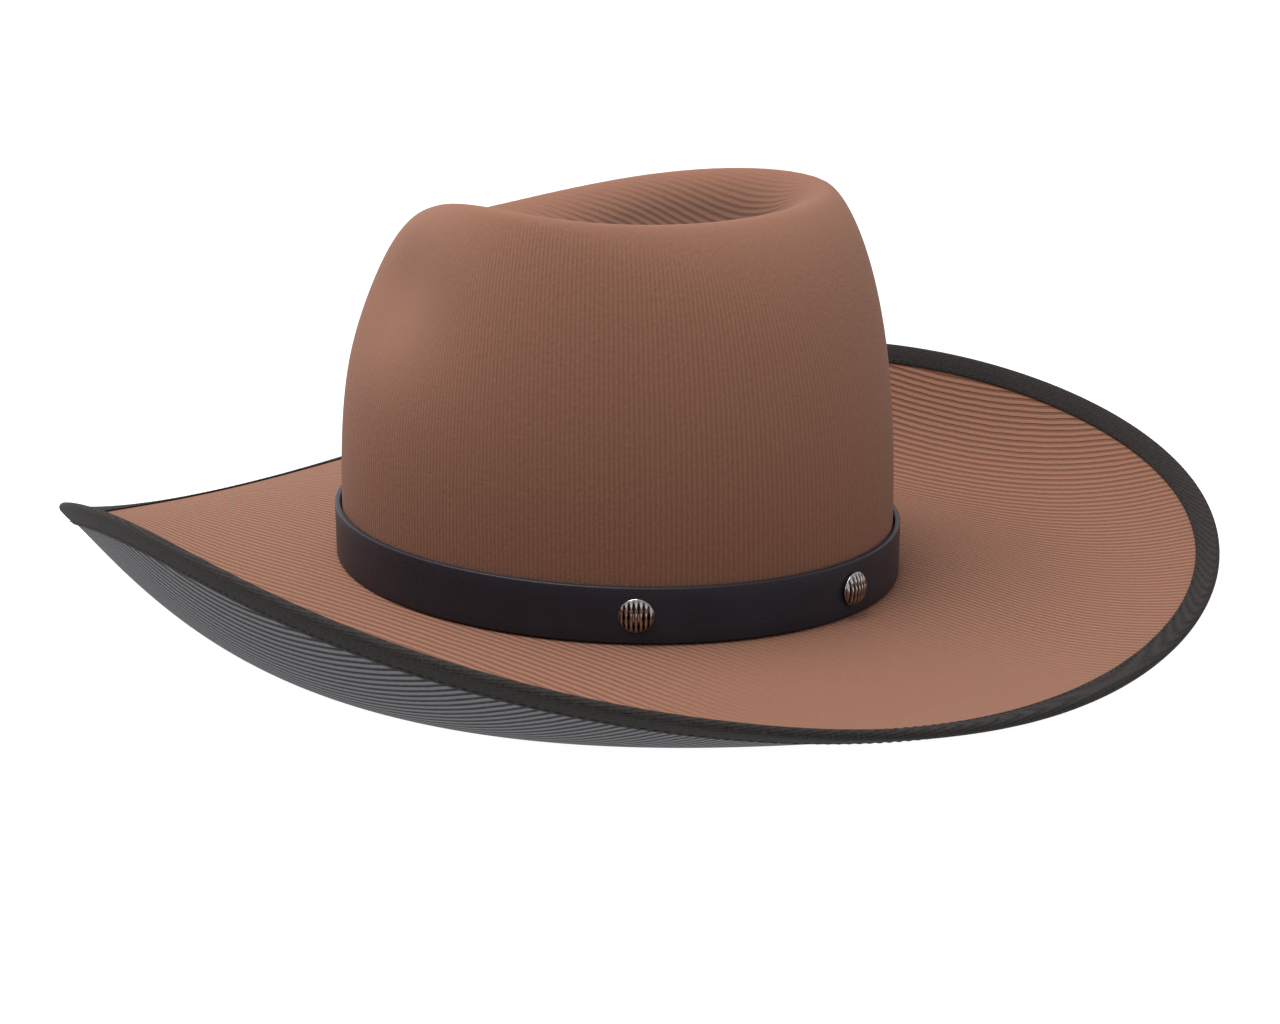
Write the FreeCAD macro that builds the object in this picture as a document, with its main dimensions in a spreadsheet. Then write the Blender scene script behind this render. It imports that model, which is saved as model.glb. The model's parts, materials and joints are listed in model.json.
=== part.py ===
import FreeCAD, Part
import Sketcher
import math
import os

# Western hat with an oval creased crown, side-curled brim, bound edge and a studded leather band.
# Frame: +Z up, the wearer faces -Y, the wearer's left is +X.  The origin is the middle of the head
# opening at the level where the band's lower edge meets the brim.  All sizes are in millimetres.
# Angles around the hat are counted from the rear (+Y) towards the wearer's left (+X).

doc = FreeCAD.newDocument("western_hat")
sheet = doc.addObject("Spreadsheet::Sheet", "sizes")

DRIVING_SIZES = [
    ("head_half_length", 98.5, "head opening, middle to front or back, inside the sweatband"),
    ("head_half_width", 84.9, "head opening, middle to side, inside the sweatband"),
    ("sweatband_wall", 1.2, "leather of the sweatband"),
    ("sweatband_height", 42.0, "sweatband above the brim"),
    ("sweatband_lean", 1.5, "how much closer the sweatband's top edge stands all round"),
    ("sweatband_gap", 0.7, "room between the sweatband and the crown, for the reed tape"),
    ("reed_radius", 0.8, "plastic reed at the foot of the sweatband"),
    ("reed_tape_wall", 0.3, "cloth tape that carries the reed"),
    ("reed_tape_gap", 0.3, "room between the reed tape and the crown"),
    ("reed_tape_height", 11.0, "how far the reed tape climbs behind the sweatband"),
    ("bow_half_width", 11.0, "rear ribbon bow, knot to tip of a loop"),
    ("bow_half_height", 4.0, "rear ribbon bow, half the height of a loop"),
    ("bow_wall", 0.8, "folded ribbon"),
    ("bow_level", 14.0, "height of the bow's knot"),
    ("crown_cloth_wall", 1.0, "outer ribbed cloth of the crown"),
    ("crown_buckram_wall", 0.8, "stiff buckram behind the crown cloth"),
    ("crown_foot_drop", 3.4, "how far the crown's foot reaches below the origin"),
    ("crest_half_width", 61.0, "ridge of the crown at the sides, from the middle"),
    ("crest_taper", 28.0, "how much wider the ridge is guided at the rear than at the sides"),
    ("crest_fullness", 6.0, "extra roundness of the ridge's ends"),
    ("crest_half_length", 70.0, "ridge of the crown, middle to front or rear"),
    ("crest_shift", 6.5, "how far the ridge's middle lies towards the front"),
    ("crest_height_side", 128.5, "ridge height at the sides"),
    ("crest_height_rear", 125.0, "ridge height at the rear"),
    ("crest_height_front", 112.0, "ridge height at the front"),
    ("wall_lean", 0.72, "share of the crown's narrowing that is a lean and not a rounded shoulder"),
    ("wall_lean_power", 3.1, "how late up the wall the lean begins"),
    ("shoulder_power", 11.0, "how tight the rounded shoulder is"),
    ("crease_depth", 24.0, "depth of the top crease under the side ridge"),
    ("crease_floor", 0.36, "share of the way in from the middle that the crease's floor takes up"),
    ("crease_shift", 13.0, "how far the crease's lowest point lies behind the ridge's middle"),
    ("dent_depth", 9.0, "depth of each side dent"),
    ("dent_angle", 113.0, "place of each side dent around the hat"),
    ("dent_spread", 21.0, "width of a dent in degrees"),
    ("dent_height", 97.0, "height of a dent's middle"),
    ("dent_half_height", 18.0, "height spread of a dent"),
    ("lining_wall", 0.3, "satin lining"),
    ("lining_gap", 0.7, "air between lining and buckram"),
    ("lining_seam", 0.68, "share of the crown height where the lining's side meets its tip"),
    ("brim_reach_rear", 201.5, "origin to rim at the rear"),
    ("brim_reach_rear_corner", 208.5, "origin to rim half way from rear to side"),
    ("brim_reach_side", 186.0, "origin to rim at the side"),
    ("brim_reach_front_corner", 192.5, "origin to rim half way from side to front"),
    ("brim_reach_front", 208.0, "origin to rim at the front"),
    ("rim_height_rear", 0.0, "rim level at the rear"),
    ("rim_height_rear_corner", 19.5, "rim level half way from rear to side"),
    ("rim_height_side", 41.0, "rim level at the side curl"),
    ("rim_height_front_corner", 17.5, "rim level half way from side to front"),
    ("rim_height_front", -15.0, "rim level at the front dip"),
    ("curl_power_rear", 3.3, "how close to the rim the rise gathers at the rear"),
    ("curl_power_side", 6.0, "the same at the side"),
    ("curl_power_front", 2.7, "the same at the front"),
    ("brim_sag_rear", 4.0, "droop of the brim half way out at the rear"),
    ("brim_sag_side", 6.0, "the same at the side"),
    ("brim_sag_front", 1.5, "the same at the front"),
    ("brim_root_drop", 1.7, "brim's middle layer below the origin where it meets the crown"),
    ("brim_cloth_wall", 0.6, "ribbed cloth on the brim's top and the same underneath"),
    ("brim_core_wall", 1.0, "stiff core between the brim's cloths"),
    ("wire_radius", 0.6, "spring wire in the rim"),
    ("sleeve_bore_gap", 0.2, "room between the rim wire and its sleeve"),
    ("sleeve_wall", 0.25, "brass sleeve over the joint of the rim wire"),
    ("sleeve_length", 8.0, "length of the wire sleeve"),
    ("fold_gap", 0.2, "room between the sleeve and the binding's fold"),
    ("binding_ease", 0.15, "room between the brim's cloths and the binding's legs"),
    ("tape_wall", 0.5, "binding tape"),
    ("tape_leg", 5.0, "how far the binding reaches in from the rim"),
    ("band_clearance", 0.4, "room between the crown and the leather band"),
    ("band_wall", 2.0, "leather of the band"),
    ("band_height", 18.3, "height of the band"),
    ("band_lap_angle", 250.0, "place of the band's lapped ends, on the wearer's right"),
    ("band_lap_span", 18.0, "degrees that the lap covers"),
    ("stud_spacing", 47.0, "degrees between studs, centred on the rear"),
    ("stud_radius", 5.6, "outer radius of a stud's cap"),
    ("stud_rim", 0.9, "height of the cap's straight rim"),
    ("stud_dome", 2.8, "height of the cap's dome"),
    ("stud_crown_radius", 3.2, "radius where the dome turns flat"),
    ("stud_crown_height", 2.4, "height where the dome turns flat"),
    ("screw_radius", 1.5, "shank of the stud's screw"),
    ("screw_bite", 1.3, "how far the screw enters the cap"),
    ("screw_head_radius", 3.2, "head of the screw behind the leather"),
    ("screw_head_wall", 0.6, "height of that head"),
    ("screw_recess", 0.8, "recess in the leather for the screw's head"),
    ("hole_clearance", 0.2, "room round a screw or a rivet in the leather"),
    ("seat_gap", 0.1, "air left where a screw, a rivet or the reed meets its seat"),
    ("washer_radius", 4.6, "washer between the leather and the cap"),
    ("washer_wall", 0.4, "washer thickness"),
    ("rivet_radius", 1.2, "shank of a lap rivet"),
    ("rivet_head_radius", 3.0, "head of a lap rivet"),
    ("rivet_head_wall", 0.7, "height of a rivet's head"),
    ("rivet_offset", 5.0, "degrees from the middle of the lap to a rivet"),
]
for row, (alias, value, meaning) in enumerate(DRIVING_SIZES, start=1):
    sheet.set("A%d" % row, alias)
    sheet.set("B%d" % row, str(value))
    sheet.set("C%d" % row, meaning)
    sheet.setAlias("B%d" % row, alias)
doc.recompute()
READ_SIZES = {alias: float(sheet.get(alias)) for alias, value, meaning in DRIVING_SIZES}


def size(alias):
    """The number in the sheet's cell of that name."""
    return READ_SIZES[alias]


# ---------------------------------------------------------------- curves and surfaces of the hat
AROUND = 72        # control points round the hat
WALL_ROWS = 16     # control rows from the crown's foot to its ridge
CREASE_ROWS = 9    # control rows from the ridge to the bottom of the crease
BRIM_ROWS = 14     # control rows from the crown to the binding's edge
LEG_ROWS = 4       # control rows from the binding's edge to the cut edge of the brim
FOLD_ROWS = 6      # turns of the binding round the wire
WIRE_SIDES = 8     # control points round the rim wire
PATH_STEPS = 160   # steps of the walk across the brim
STEP = 1e-4        # step of the numeric slopes
CREST_ZONE = 0.02  # travel about the ridge in which the wall's own slope is not used
ANGLES = [2.0 * math.pi * i / AROUND for i in range(AROUND)]

CROWN_WALL = size("crown_cloth_wall") + size("crown_buckram_wall")
CROWN_GROWTH = size("sweatband_wall") + size("sweatband_gap") + CROWN_WALL
CROWN_HALF_WIDTH = size("head_half_width") + CROWN_GROWTH
CROWN_HALF_LENGTH = size("head_half_length") + CROWN_GROWTH
BRIM_HALF_WALL = size("brim_core_wall") / 2.0 + size("brim_cloth_wall")


def around(stations, angle):
    """A smooth closed curve through stations that are equally spaced from the rear to the front."""
    last = len(stations) - 1
    total = 0.0
    for wave in range(last + 1):
        part = 0.0
        for index, value in enumerate(stations):
            weight = 0.5 if index in (0, last) else 1.0
            part += weight * value * math.cos(math.pi * index * wave / last)
        part *= (1.0 if wave in (0, last) else 2.0) / last
        total += part * math.cos(wave * angle)
    return total


def stations(stem, places):
    """The sheet's values of one quantity at the named places."""
    return [size("%s_%s" % (stem, place)) for place in places]


FIVE_PLACES = ["rear", "rear_corner", "side", "front_corner", "front"]
THREE_PLACES = ["rear", "side", "front"]
BRIM_REACH = stations("brim_reach", FIVE_PLACES)
RIM_HEIGHT = stations("rim_height", FIVE_PLACES)
CURL_POWER = stations("curl_power", THREE_PLACES)
BRIM_SAG = stations("brim_sag", THREE_PLACES)


def unit_normal(point_at, first, second):
    """The unit normal of a surface that point_at(first, second) gives."""
    along_first = point_at(first + STEP, second) - point_at(first - STEP, second)
    along_second = point_at(first, second + STEP) - point_at(first, second - STEP)
    return along_first.cross(along_second).normalize()


def crest_point(angle):
    """A point of the crown's ridge."""
    c, s = math.cos(angle), math.sin(angle)
    width = size("crest_half_width") + size("crest_taper") * c + 2.0 * size("crest_fullness") * c * c
    side, rear, front = (size("crest_height_" + place) for place in ("side", "rear", "front"))
    height = side + (rear - front) / 2.0 * c + ((rear + front) / 2.0 - side) * c * c
    return FreeCAD.Vector(width * s, size("crest_half_length") * c - size("crest_shift"), height)


def crown_point(angle, travel):
    """A point of the crown's outer face: travel 0 at the band, 1 on the ridge, 2 in the crease."""
    c, s = math.cos(angle), math.sin(angle)
    crest = crest_point(angle)
    foot = FreeCAD.Vector(CROWN_HALF_WIDTH * s, CROWN_HALF_LENGTH * c, 0.0)
    if travel <= 1.0:
        rise = 1.0 - (1.0 - travel) ** 2
        lean = size("wall_lean")
        shoulder = math.sqrt(max(0.0, 1.0 - rise ** size("shoulder_power")))
        out = 1.0 - lean * max(rise, 0.0) ** size("wall_lean_power") - (1.0 - lean) * (1.0 - shoulder)
        point = crest + (foot - crest) * out
        point.z = rise * crest.z
        fade = 1.0
    else:
        inward = min(travel - 1.0, 1.0)
        drop = min(inward / (1.0 - size("crease_floor")), 1.0)
        ease = drop * drop * (3.0 - 2.0 * drop)
        floor = size("crest_height_side") - size("crease_depth")
        point = FreeCAD.Vector(crest.x * (1.0 - inward), crest.y * (1.0 - inward), 0.0)
        point.y += size("crease_shift") * inward
        point.z = crest.z + (floor - crest.z) * ease
        fade = (1.0 - inward) ** 2
    turn = math.degrees(math.acos(max(-1.0, min(1.0, c))))
    across = (turn - size("dent_angle")) / size("dent_spread")
    upward = (min(point.z, crest.z) - size("dent_height")) / size("dent_half_height")
    dent = size("dent_depth") * fade * math.exp(-across * across - upward * upward)
    outward = FreeCAD.Vector(foot.x, foot.y, 0.0).normalize()
    return point - outward * dent


def crown_pole(angle, travel, depth):
    """A crown point moved inwards by depth, square to the face."""
    if travel >= 2.0:
        return crown_point(0.0, 2.0) - FreeCAD.Vector(0.0, 0.0, depth)
    if travel <= 0.0:
        shrink = FreeCAD.Vector(math.sin(angle), math.cos(angle), 0.0) * depth
        return crown_point(angle, 0.0) - shrink
    if abs(travel - 1.0) <= CREST_ZONE:
        return crown_point(angle, travel) - FreeCAD.Vector(0.0, 0.0, depth)
    return crown_point(angle, travel) + unit_normal(crown_point, angle, travel) * depth


FOLD_RADIUS = size("wire_radius") + size("sleeve_bore_gap") + size("sleeve_wall") + size("fold_gap")
RIM_ALLOWANCE = size("tape_wall") + 2.0 * FOLD_RADIUS


def brim_middle(angle, share):
    """A point of the brim's middle layer: share 0 at the crown, 1 at the cut edge of the layers."""
    c, s = math.cos(angle), math.sin(angle)
    reach = around(BRIM_REACH, angle) - RIM_ALLOWANCE
    root = FreeCAD.Vector(CROWN_HALF_WIDTH * s, CROWN_HALF_LENGTH * c, -size("brim_root_drop"))
    rim = FreeCAD.Vector(reach * s, reach * c, around(RIM_HEIGHT, angle))
    held = max(share, 0.0)
    curl = held ** around(CURL_POWER, angle)
    sag = around(BRIM_SAG, angle) * math.sin(math.pi * held)
    point = root + (rim - root) * share
    point.z = root.z + (rim.z - root.z) * curl - sag * math.sin(math.pi * held / 2.0)
    return point


def brim_path(angle):
    """The length walked along the middle layer from the crown to each step towards the cut edge."""
    points = [brim_middle(angle, step / float(PATH_STEPS)) for step in range(PATH_STEPS + 1)]
    walked = [0.0]
    for start, end in zip(points, points[1:]):
        walked.append(walked[-1] + start.distanceToPoint(end))
    return walked


BRIM_PATHS = {angle: brim_path(angle) for angle in ANGLES}


def share_at(angle, inset):
    """The brim share that lies inset from the cut edge, measured along the cloth."""
    walked = BRIM_PATHS[angle]
    target = walked[-1] - inset
    if target <= 0.0:
        return 0.0
    step = next(index for index, length in enumerate(walked) if length >= target)
    part = (target - walked[step - 1]) / (walked[step] - walked[step - 1])
    return (step - 1 + part) / PATH_STEPS


def brim_pole(angle, inset, lift):
    """A brim point at inset from the cut edge (negative is beyond it) and lift above the middle."""
    share = share_at(angle, max(inset, 0.0))
    if share <= 0.0:
        return brim_middle(angle, 0.0) + FreeCAD.Vector(0.0, 0.0, lift)
    slope_share = min(max(share, 2.0 * STEP), 1.0 - 2.0 * STEP)
    upward = unit_normal(brim_middle, angle, slope_share)
    if upward.z < 0.0:
        upward = upward * -1.0
    point = brim_middle(angle, share) + upward * lift
    if inset < 0.0:
        outward = brim_middle(angle, 1.0) - brim_middle(angle, 1.0 - STEP)
        point = point + outward.normalize() * -inset
    return point


# ---------------------------------------------------------------- building solids from control nets
def threaded(ring):
    """Control points whose closed cubic curve runs through the points of a ring."""
    after = ring[1:] + ring[:1]
    before = ring[-1:] + ring[:-1]
    return [point - (ahead + behind - point * 2.0) / 6.0
            for point, ahead, behind in zip(ring, after, before)]


def closed_surface(rows, degree=3):
    """A surface that closes round the hat through rows of points."""
    rows = [threaded(row) for row in rows]
    columns = [[row[i] for row in rows] for i in range(AROUND)]
    degree = min(degree, len(rows) - 1)
    inner = len(rows) - degree - 1
    around_knots = [float(i) for i in range(AROUND + 1)]
    across_knots = [float(i) for i in range(inner + 2)]
    surface = Part.BSplineSurface()
    surface.buildFromPolesMultsKnots(
        columns, [1] * (AROUND + 1), [degree + 1] + [1] * inner + [degree + 1],
        around_knots, across_knots, True, False, 3, degree)
    return surface


def solid_between(nets):
    """A closed solid whose skin is the given nets, each one meeting the next along its edge rows."""
    faces = [closed_surface(rows).toShape() for rows in nets]
    shell = Part.Shell([face for shape in faces for face in shape.Faces])
    shell.sewShape()
    solid = Part.Solid(shell if shell.ShapeType == "Shell" else shell.Shells[0])
    if solid.Volume < 0.0:
        solid.reverse()
    return solid


def layer(pole_at, stops, top, bottom):
    """A layer of cloth or core: its top face, bottom face and the two cut edges."""
    upper = [[pole_at(angle, stop, top) for angle in ANGLES] for stop in stops]
    lower = [[pole_at(angle, stop, bottom) for angle in ANGLES] for stop in stops]
    nets = [upper, lower, [upper[0], lower[0]]]
    if upper[-1][0].distanceToPoint(upper[-1][AROUND // 2]) > STEP:
        nets.append([upper[-1], lower[-1]])
    return solid_between(nets)


def feature(name, shape):
    """A document object that holds a free-form shape under its own name."""
    made = doc.addObject("Part::Feature", name)
    made.Label = name
    made.Shape = shape
    return made


def crown_stops(first, last):
    """Control rows of a crown layer between two travels; denser at the shoulder."""
    wall = [i / float(WALL_ROWS) for i in range(WALL_ROWS + 1)]
    crease = [1.0 + i / float(CREASE_ROWS) for i in range(1, CREASE_ROWS + 1)]
    inside = [travel for travel in wall + crease if first < travel < last]
    return [first] + inside + [last]


def crown_layer(name, outer_depth, inner_depth, first, last):
    """One layer of the crown; a layer that begins at the band also has the foot below it."""
    foot = FreeCAD.Vector(0.0, 0.0, -size("crown_foot_drop"))

    def pole(angle, travel, depth):
        """A control point; a negative travel is the foot under the band."""
        return crown_pole(angle, 0.0, depth) + foot if travel < 0.0 else crown_pole(angle, travel, depth)

    stops = crown_stops(max(first, 0.0), last)
    return feature(name, layer(pole, ([-1.0] if first < 0.0 else []) + stops, outer_depth, inner_depth))


def brim_layer(name, top, bottom):
    """One layer of the brim from the crown to the cut edge; its last rows are the binding's."""
    stops = [i / float(BRIM_ROWS) for i in range(BRIM_ROWS)]
    stops += [1.0 + i / float(LEG_ROWS) for i in range(LEG_ROWS + 1)]

    def pole(angle, stop, lift):
        """A control point: stop 0 at the crown, 1 at the binding's edge, 2 at the cut edge."""
        leg = size("tape_leg")
        inset = leg * (2.0 - stop)
        if stop < 1.0:
            inset = leg + (1.0 - stop) * (BRIM_PATHS[angle][-1] - leg)
        return brim_pole(angle, inset, lift)

    return feature(name, layer(pole, stops, top, bottom))


def edge_binding():
    """The folded tape round the rim: two legs and a round nose over the wire."""
    nose = FOLD_RADIUS
    leg_stops = [size("tape_leg") * (1.0 - i / float(LEG_ROWS)) for i in range(LEG_ROWS + 1)]
    turns = [math.pi * (0.5 - i / float(FOLD_ROWS)) for i in range(1, FOLD_ROWS)]

    def path(offset):
        """The tape's cross-section path at an offset from the layers and the wire."""
        half = BRIM_HALF_WALL + size("binding_ease") + offset
        points = [(inset, half) for inset in leg_stops]
        for turn in turns:
            points.append((-nose - (nose + offset) * math.cos(turn), half * math.sin(turn)))
        return points + [(inset, -half) for inset in reversed(leg_stops)]

    inner = [[brim_pole(angle, inset, lift) for angle in ANGLES] for inset, lift in path(0.0)]
    outer = [[brim_pole(angle, inset, lift) for angle in ANGLES] for inset, lift in path(size("tape_wall"))]
    return feature("edge_binding", solid_between(
        [inner, outer, [inner[0], outer[0]], [inner[-1], outer[-1]]]))


def wire_frame(angle):
    """The rim wire's centre, the direction out of the hat and the direction square to the brim."""
    centre = brim_pole(angle, -FOLD_RADIUS, 0.0)
    outward = brim_pole(angle, -2.0 * FOLD_RADIUS, 0.0) - centre
    upward = brim_pole(angle, -FOLD_RADIUS, 1.0) - centre
    return centre, outward.normalize(), upward.normalize()


def rim_wire():
    """The spring wire in the fold of the binding, a closed ring of round section."""
    turn_step = 2.0 * math.pi / WIRE_SIDES
    pole_radius = size("wire_radius") * 3.0 / (2.0 + math.cos(turn_step))
    frames = [wire_frame(angle) for angle in ANGLES]
    rings = []
    for turn in (turn_step * i for i in range(WIRE_SIDES)):
        rings.append(threaded([centre + (outward * math.cos(turn) + upward * math.sin(turn)) * pole_radius
                               for centre, outward, upward in frames]))
    columns = [list(column) for column in zip(*rings)]
    surface = Part.BSplineSurface()
    surface.buildFromPolesMultsKnots(
        columns, [1] * (AROUND + 1), [1] * (WIRE_SIDES + 1), [float(i) for i in range(AROUND + 1)],
        [float(i) for i in range(WIRE_SIDES + 1)], True, True, 3, 3)
    solid = Part.Solid(Part.Shell(surface.toShape().Faces))
    if solid.Volume < 0.0:
        solid.reverse()
    return feature("brim_wire", solid)


# ---------------------------------------------------------------- pieces made from sketches and primitives
def bound(obj, **links):
    """Binds an object's properties to expressions over the sheet's cells."""
    for name, expression in links.items():
        obj.setExpression(name, expression)
    return obj


def head_oval(name, growth, level):
    """The head's oval grown by an expression, at a level."""
    oval = doc.addObject("Part::Ellipse", name)
    bound(oval, MajorRadius="sizes.head_half_length + " + growth,
          MinorRadius="sizes.head_half_width + " + growth)
    oval.setExpression("Placement.Base.z", level)
    oval.Placement.Rotation = FreeCAD.Rotation(FreeCAD.Vector(0, 0, 1), 90)
    return oval


def oval_prism(name, growth, base, height):
    """An upright oval block: the head oval grown by an expression, from base up by height."""
    block = doc.addObject("Part::Extrusion", name + "_block")
    block.Base = head_oval(name + "_oval", growth, base)
    block.DirMode = "Custom"
    block.Dir = FreeCAD.Vector(0, 0, 1)
    block.Solid = True
    block.setExpression("LengthFwd", height)
    return block


def leaning_block(name, growth, top_growth, base, top):
    """An oval block whose top oval differs from its foot oval."""
    block = doc.addObject("Part::Loft", name)
    block.Sections = [head_oval(name + "_foot", growth, base), head_oval(name + "_top", top_growth, top)]
    block.Solid = True
    block.Ruled = True
    return block


def cut(name, base, *tools):
    """The base object less the tools, under its own name."""
    result = base
    for index, tool in enumerate(tools):
        step = doc.addObject("Part::Cut", name if index == len(tools) - 1 else "%s_cut_%d" % (name, index))
        step.Base = result
        step.Tool = tool
        result = step
    result.Label = name
    return result


def outline_sketch(body, name, outline):
    """A closed outline of straight runs; outline lists (across, up) as expressions over the sheet."""
    sketch = body.newObject("Sketcher::SketchObject", name + "_outline")
    plane = [item for item in body.Origin.OriginFeatures if item.Role == "XZ_Plane"][0]
    sketch.AttachmentSupport = [(plane, "")]
    sketch.MapMode = "FlatFace"
    probe = doc.addObject("App::FeaturePython", name + "_probe")
    for index, pair in enumerate(outline):
        for axis, expression in zip("xy", pair):
            probe.addProperty("App::PropertyFloat", "%s%d" % (axis, index))
            probe.setExpression("%s%d" % (axis, index), expression)
    doc.recompute()
    points = [FreeCAD.Vector(getattr(probe, "x%d" % index), getattr(probe, "y%d" % index), 0.0)
              for index in range(len(outline))]
    doc.removeObject(probe.Name)
    for start, end in zip(points, points[1:] + points[:1]):
        sketch.addGeometry(Part.LineSegment(start, end), False)
    for index in range(len(outline)):
        sketch.addConstraint(Sketcher.Constraint("Coincident", index, 2, (index + 1) % len(outline), 1))
    for index, pair in enumerate(outline):
        for kind, axis, expression, value in (("DistanceX", -2, pair[0], points[index].x),
                                              ("DistanceY", -1, pair[1], points[index].y)):
            if expression == "0":
                sketch.addConstraint(Sketcher.Constraint("PointOnObject", index, 1, axis))
            else:
                number = sketch.addConstraint(Sketcher.Constraint(kind, -1, 1, index, 1, value))
                sketch.setExpression("Constraints[%d]" % number, expression)
    return sketch


def turned(name, outline):
    """A body of revolution whose outline is (radius, height) pairs."""
    body = doc.addObject("PartDesign::Body", name)
    body.Label = name
    turn = body.newObject("PartDesign::Revolution", name + "_turn")
    turn.Profile = outline_sketch(body, name, outline)
    turn.ReferenceAxis = (turn.Profile[0], ["V_Axis"])
    turn.Angle = 360.0
    return body


def flat_piece(name, outline, wall):
    """A flat piece of the given outline, wall thick towards -Y."""
    body = doc.addObject("PartDesign::Body", name)
    body.Label = name
    pad = body.newObject("PartDesign::Pad", name + "_pad")
    pad.Profile = outline_sketch(body, name, outline)
    pad.setExpression("Length", wall)
    return body


def round_block(name, radius, height):
    """A cylinder whose radius and height are expressions over the sheet."""
    return bound(doc.addObject("Part::Cylinder", name), Radius=radius, Height=height)


# ---------------------------------------------------------------- places on the band
CROWN_INSIDE_TEXT = "sizes.sweatband_wall + sizes.sweatband_gap"
CROWN_OUTSIDE_TEXT = CROWN_INSIDE_TEXT + " + sizes.crown_cloth_wall + sizes.crown_buckram_wall"
BAND_INNER_TEXT = CROWN_OUTSIDE_TEXT + " + sizes.band_clearance"
BAND_OUTER_TEXT = BAND_INNER_TEXT + " + sizes.band_wall"
BAND_INNER_GROWTH = CROWN_GROWTH + size("band_clearance")


def on_band(obj, degrees, stand_off):
    """Places an object so that its +Z points out of the band, stand_off from the leather's back."""
    angle = math.radians(degrees)
    half_width = size("head_half_width") + BAND_INNER_GROWTH
    half_length = size("head_half_length") + BAND_INNER_GROWTH
    c, s = math.cos(angle), math.sin(angle)
    outward = FreeCAD.Vector(s / half_width, c / half_length, 0.0).normalize()
    place = FreeCAD.Vector(half_width * s, half_length * c, size("band_height") / 2.0)
    turn = FreeCAD.Rotation(FreeCAD.Vector(0, 0, 1), outward)
    obj.Placement = FreeCAD.Placement(place + outward * stand_off, turn)
    return obj


# ---------------------------------------------------------------- the crown and its lining
pieces = []
CLOTH = size("crown_cloth_wall")
LINING = CROWN_WALL + size("lining_gap")
LINING_FOOT_RISE = (size("sweatband_height") + size("lining_gap")) / size("crest_height_front")
LINING_FOOT = 1.0 - math.sqrt(1.0 - LINING_FOOT_RISE)
pieces.append(crown_layer("crown_cloth", 0.0, CLOTH, -1.0, 2.0))
pieces.append(crown_layer("crown_buckram", CLOTH, CROWN_WALL, -1.0, 2.0))
LINING_INSIDE = LINING + size("lining_wall")
pieces.append(crown_layer("lining_side", LINING, LINING_INSIDE, LINING_FOOT, size("lining_seam")))
pieces.append(crown_layer("lining_tip", LINING, LINING_INSIDE, size("lining_seam"), 2.0))

# ---------------------------------------------------------------- the brim
CORE = size("brim_core_wall") / 2.0
pieces.append(brim_layer("brim_top_cloth", BRIM_HALF_WALL, CORE))
pieces.append(brim_layer("brim_core", CORE, -CORE))
pieces.append(brim_layer("brim_under_cloth", -CORE, -BRIM_HALF_WALL))
pieces.append(rim_wire())
pieces.append(edge_binding())

SLEEVE_BORE = "sizes.wire_radius + sizes.sleeve_bore_gap"
SLEEVE_SKIN = SLEEVE_BORE + " + sizes.sleeve_wall"
SLEEVE_END = "sizes.sleeve_length / 2"
SLEEVE_OUTLINE = [(SLEEVE_BORE, "-" + SLEEVE_END), (SLEEVE_SKIN, "-" + SLEEVE_END),
                  (SLEEVE_SKIN, SLEEVE_END), (SLEEVE_BORE, SLEEVE_END)]
sleeve = turned("brim_wire_sleeve", SLEEVE_OUTLINE)
sleeve.Placement = FreeCAD.Placement(wire_frame(0.0)[0], FreeCAD.Rotation(FreeCAD.Vector(0, 1, 0), 90))
pieces.append(sleeve)

# ---------------------------------------------------------------- the sweatband
sweat_base = "-sizes.crown_foot_drop + 2 * sizes.reed_radius"
sweat_outer = leaning_block("sweatband_outside", "sizes.sweatband_wall",
                            "sizes.sweatband_wall - sizes.sweatband_lean", sweat_base,
                            "sizes.sweatband_height")
sweat_inner = leaning_block("sweatband_inside", "0", "-sizes.sweatband_lean", sweat_base,
                            "sizes.sweatband_height")
pieces.append(cut("sweatband", sweat_outer, sweat_inner))

TAPE_SKIN = CROWN_INSIDE_TEXT + " - sizes.reed_tape_gap"
tape_outer = oval_prism("reed_tape_outside", TAPE_SKIN, sweat_base, "sizes.reed_tape_height")
tape_inner = oval_prism("reed_tape_inside", TAPE_SKIN + " - sizes.reed_tape_wall",
                        sweat_base, "sizes.reed_tape_height")
pieces.append(cut("reed_tape", tape_outer, tape_inner))

reed_path = head_oval("reed_path", "sizes.sweatband_wall / 2", "0")
reed_section = doc.addObject("Part::Circle", "reed_section")
bound(reed_section, Radius="sizes.reed_radius")
reed_section.Placement = FreeCAD.Placement(
    FreeCAD.Vector(0, size("head_half_length") + size("sweatband_wall") / 2.0, 0),
    FreeCAD.Rotation(FreeCAD.Vector(0, 1, 0), 90))
reed = doc.addObject("Part::Sweep", "sweatband_reed")
reed.Sections = [reed_section]
reed.Spine = (reed_path, ["Edge1"])
reed.Solid = True
reed.Frenet = True
reed.setExpression("Placement.Base.z", "-sizes.crown_foot_drop + sizes.reed_radius - sizes.seat_gap")
reed.Label = "sweatband_reed"
pieces.append(reed)

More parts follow.
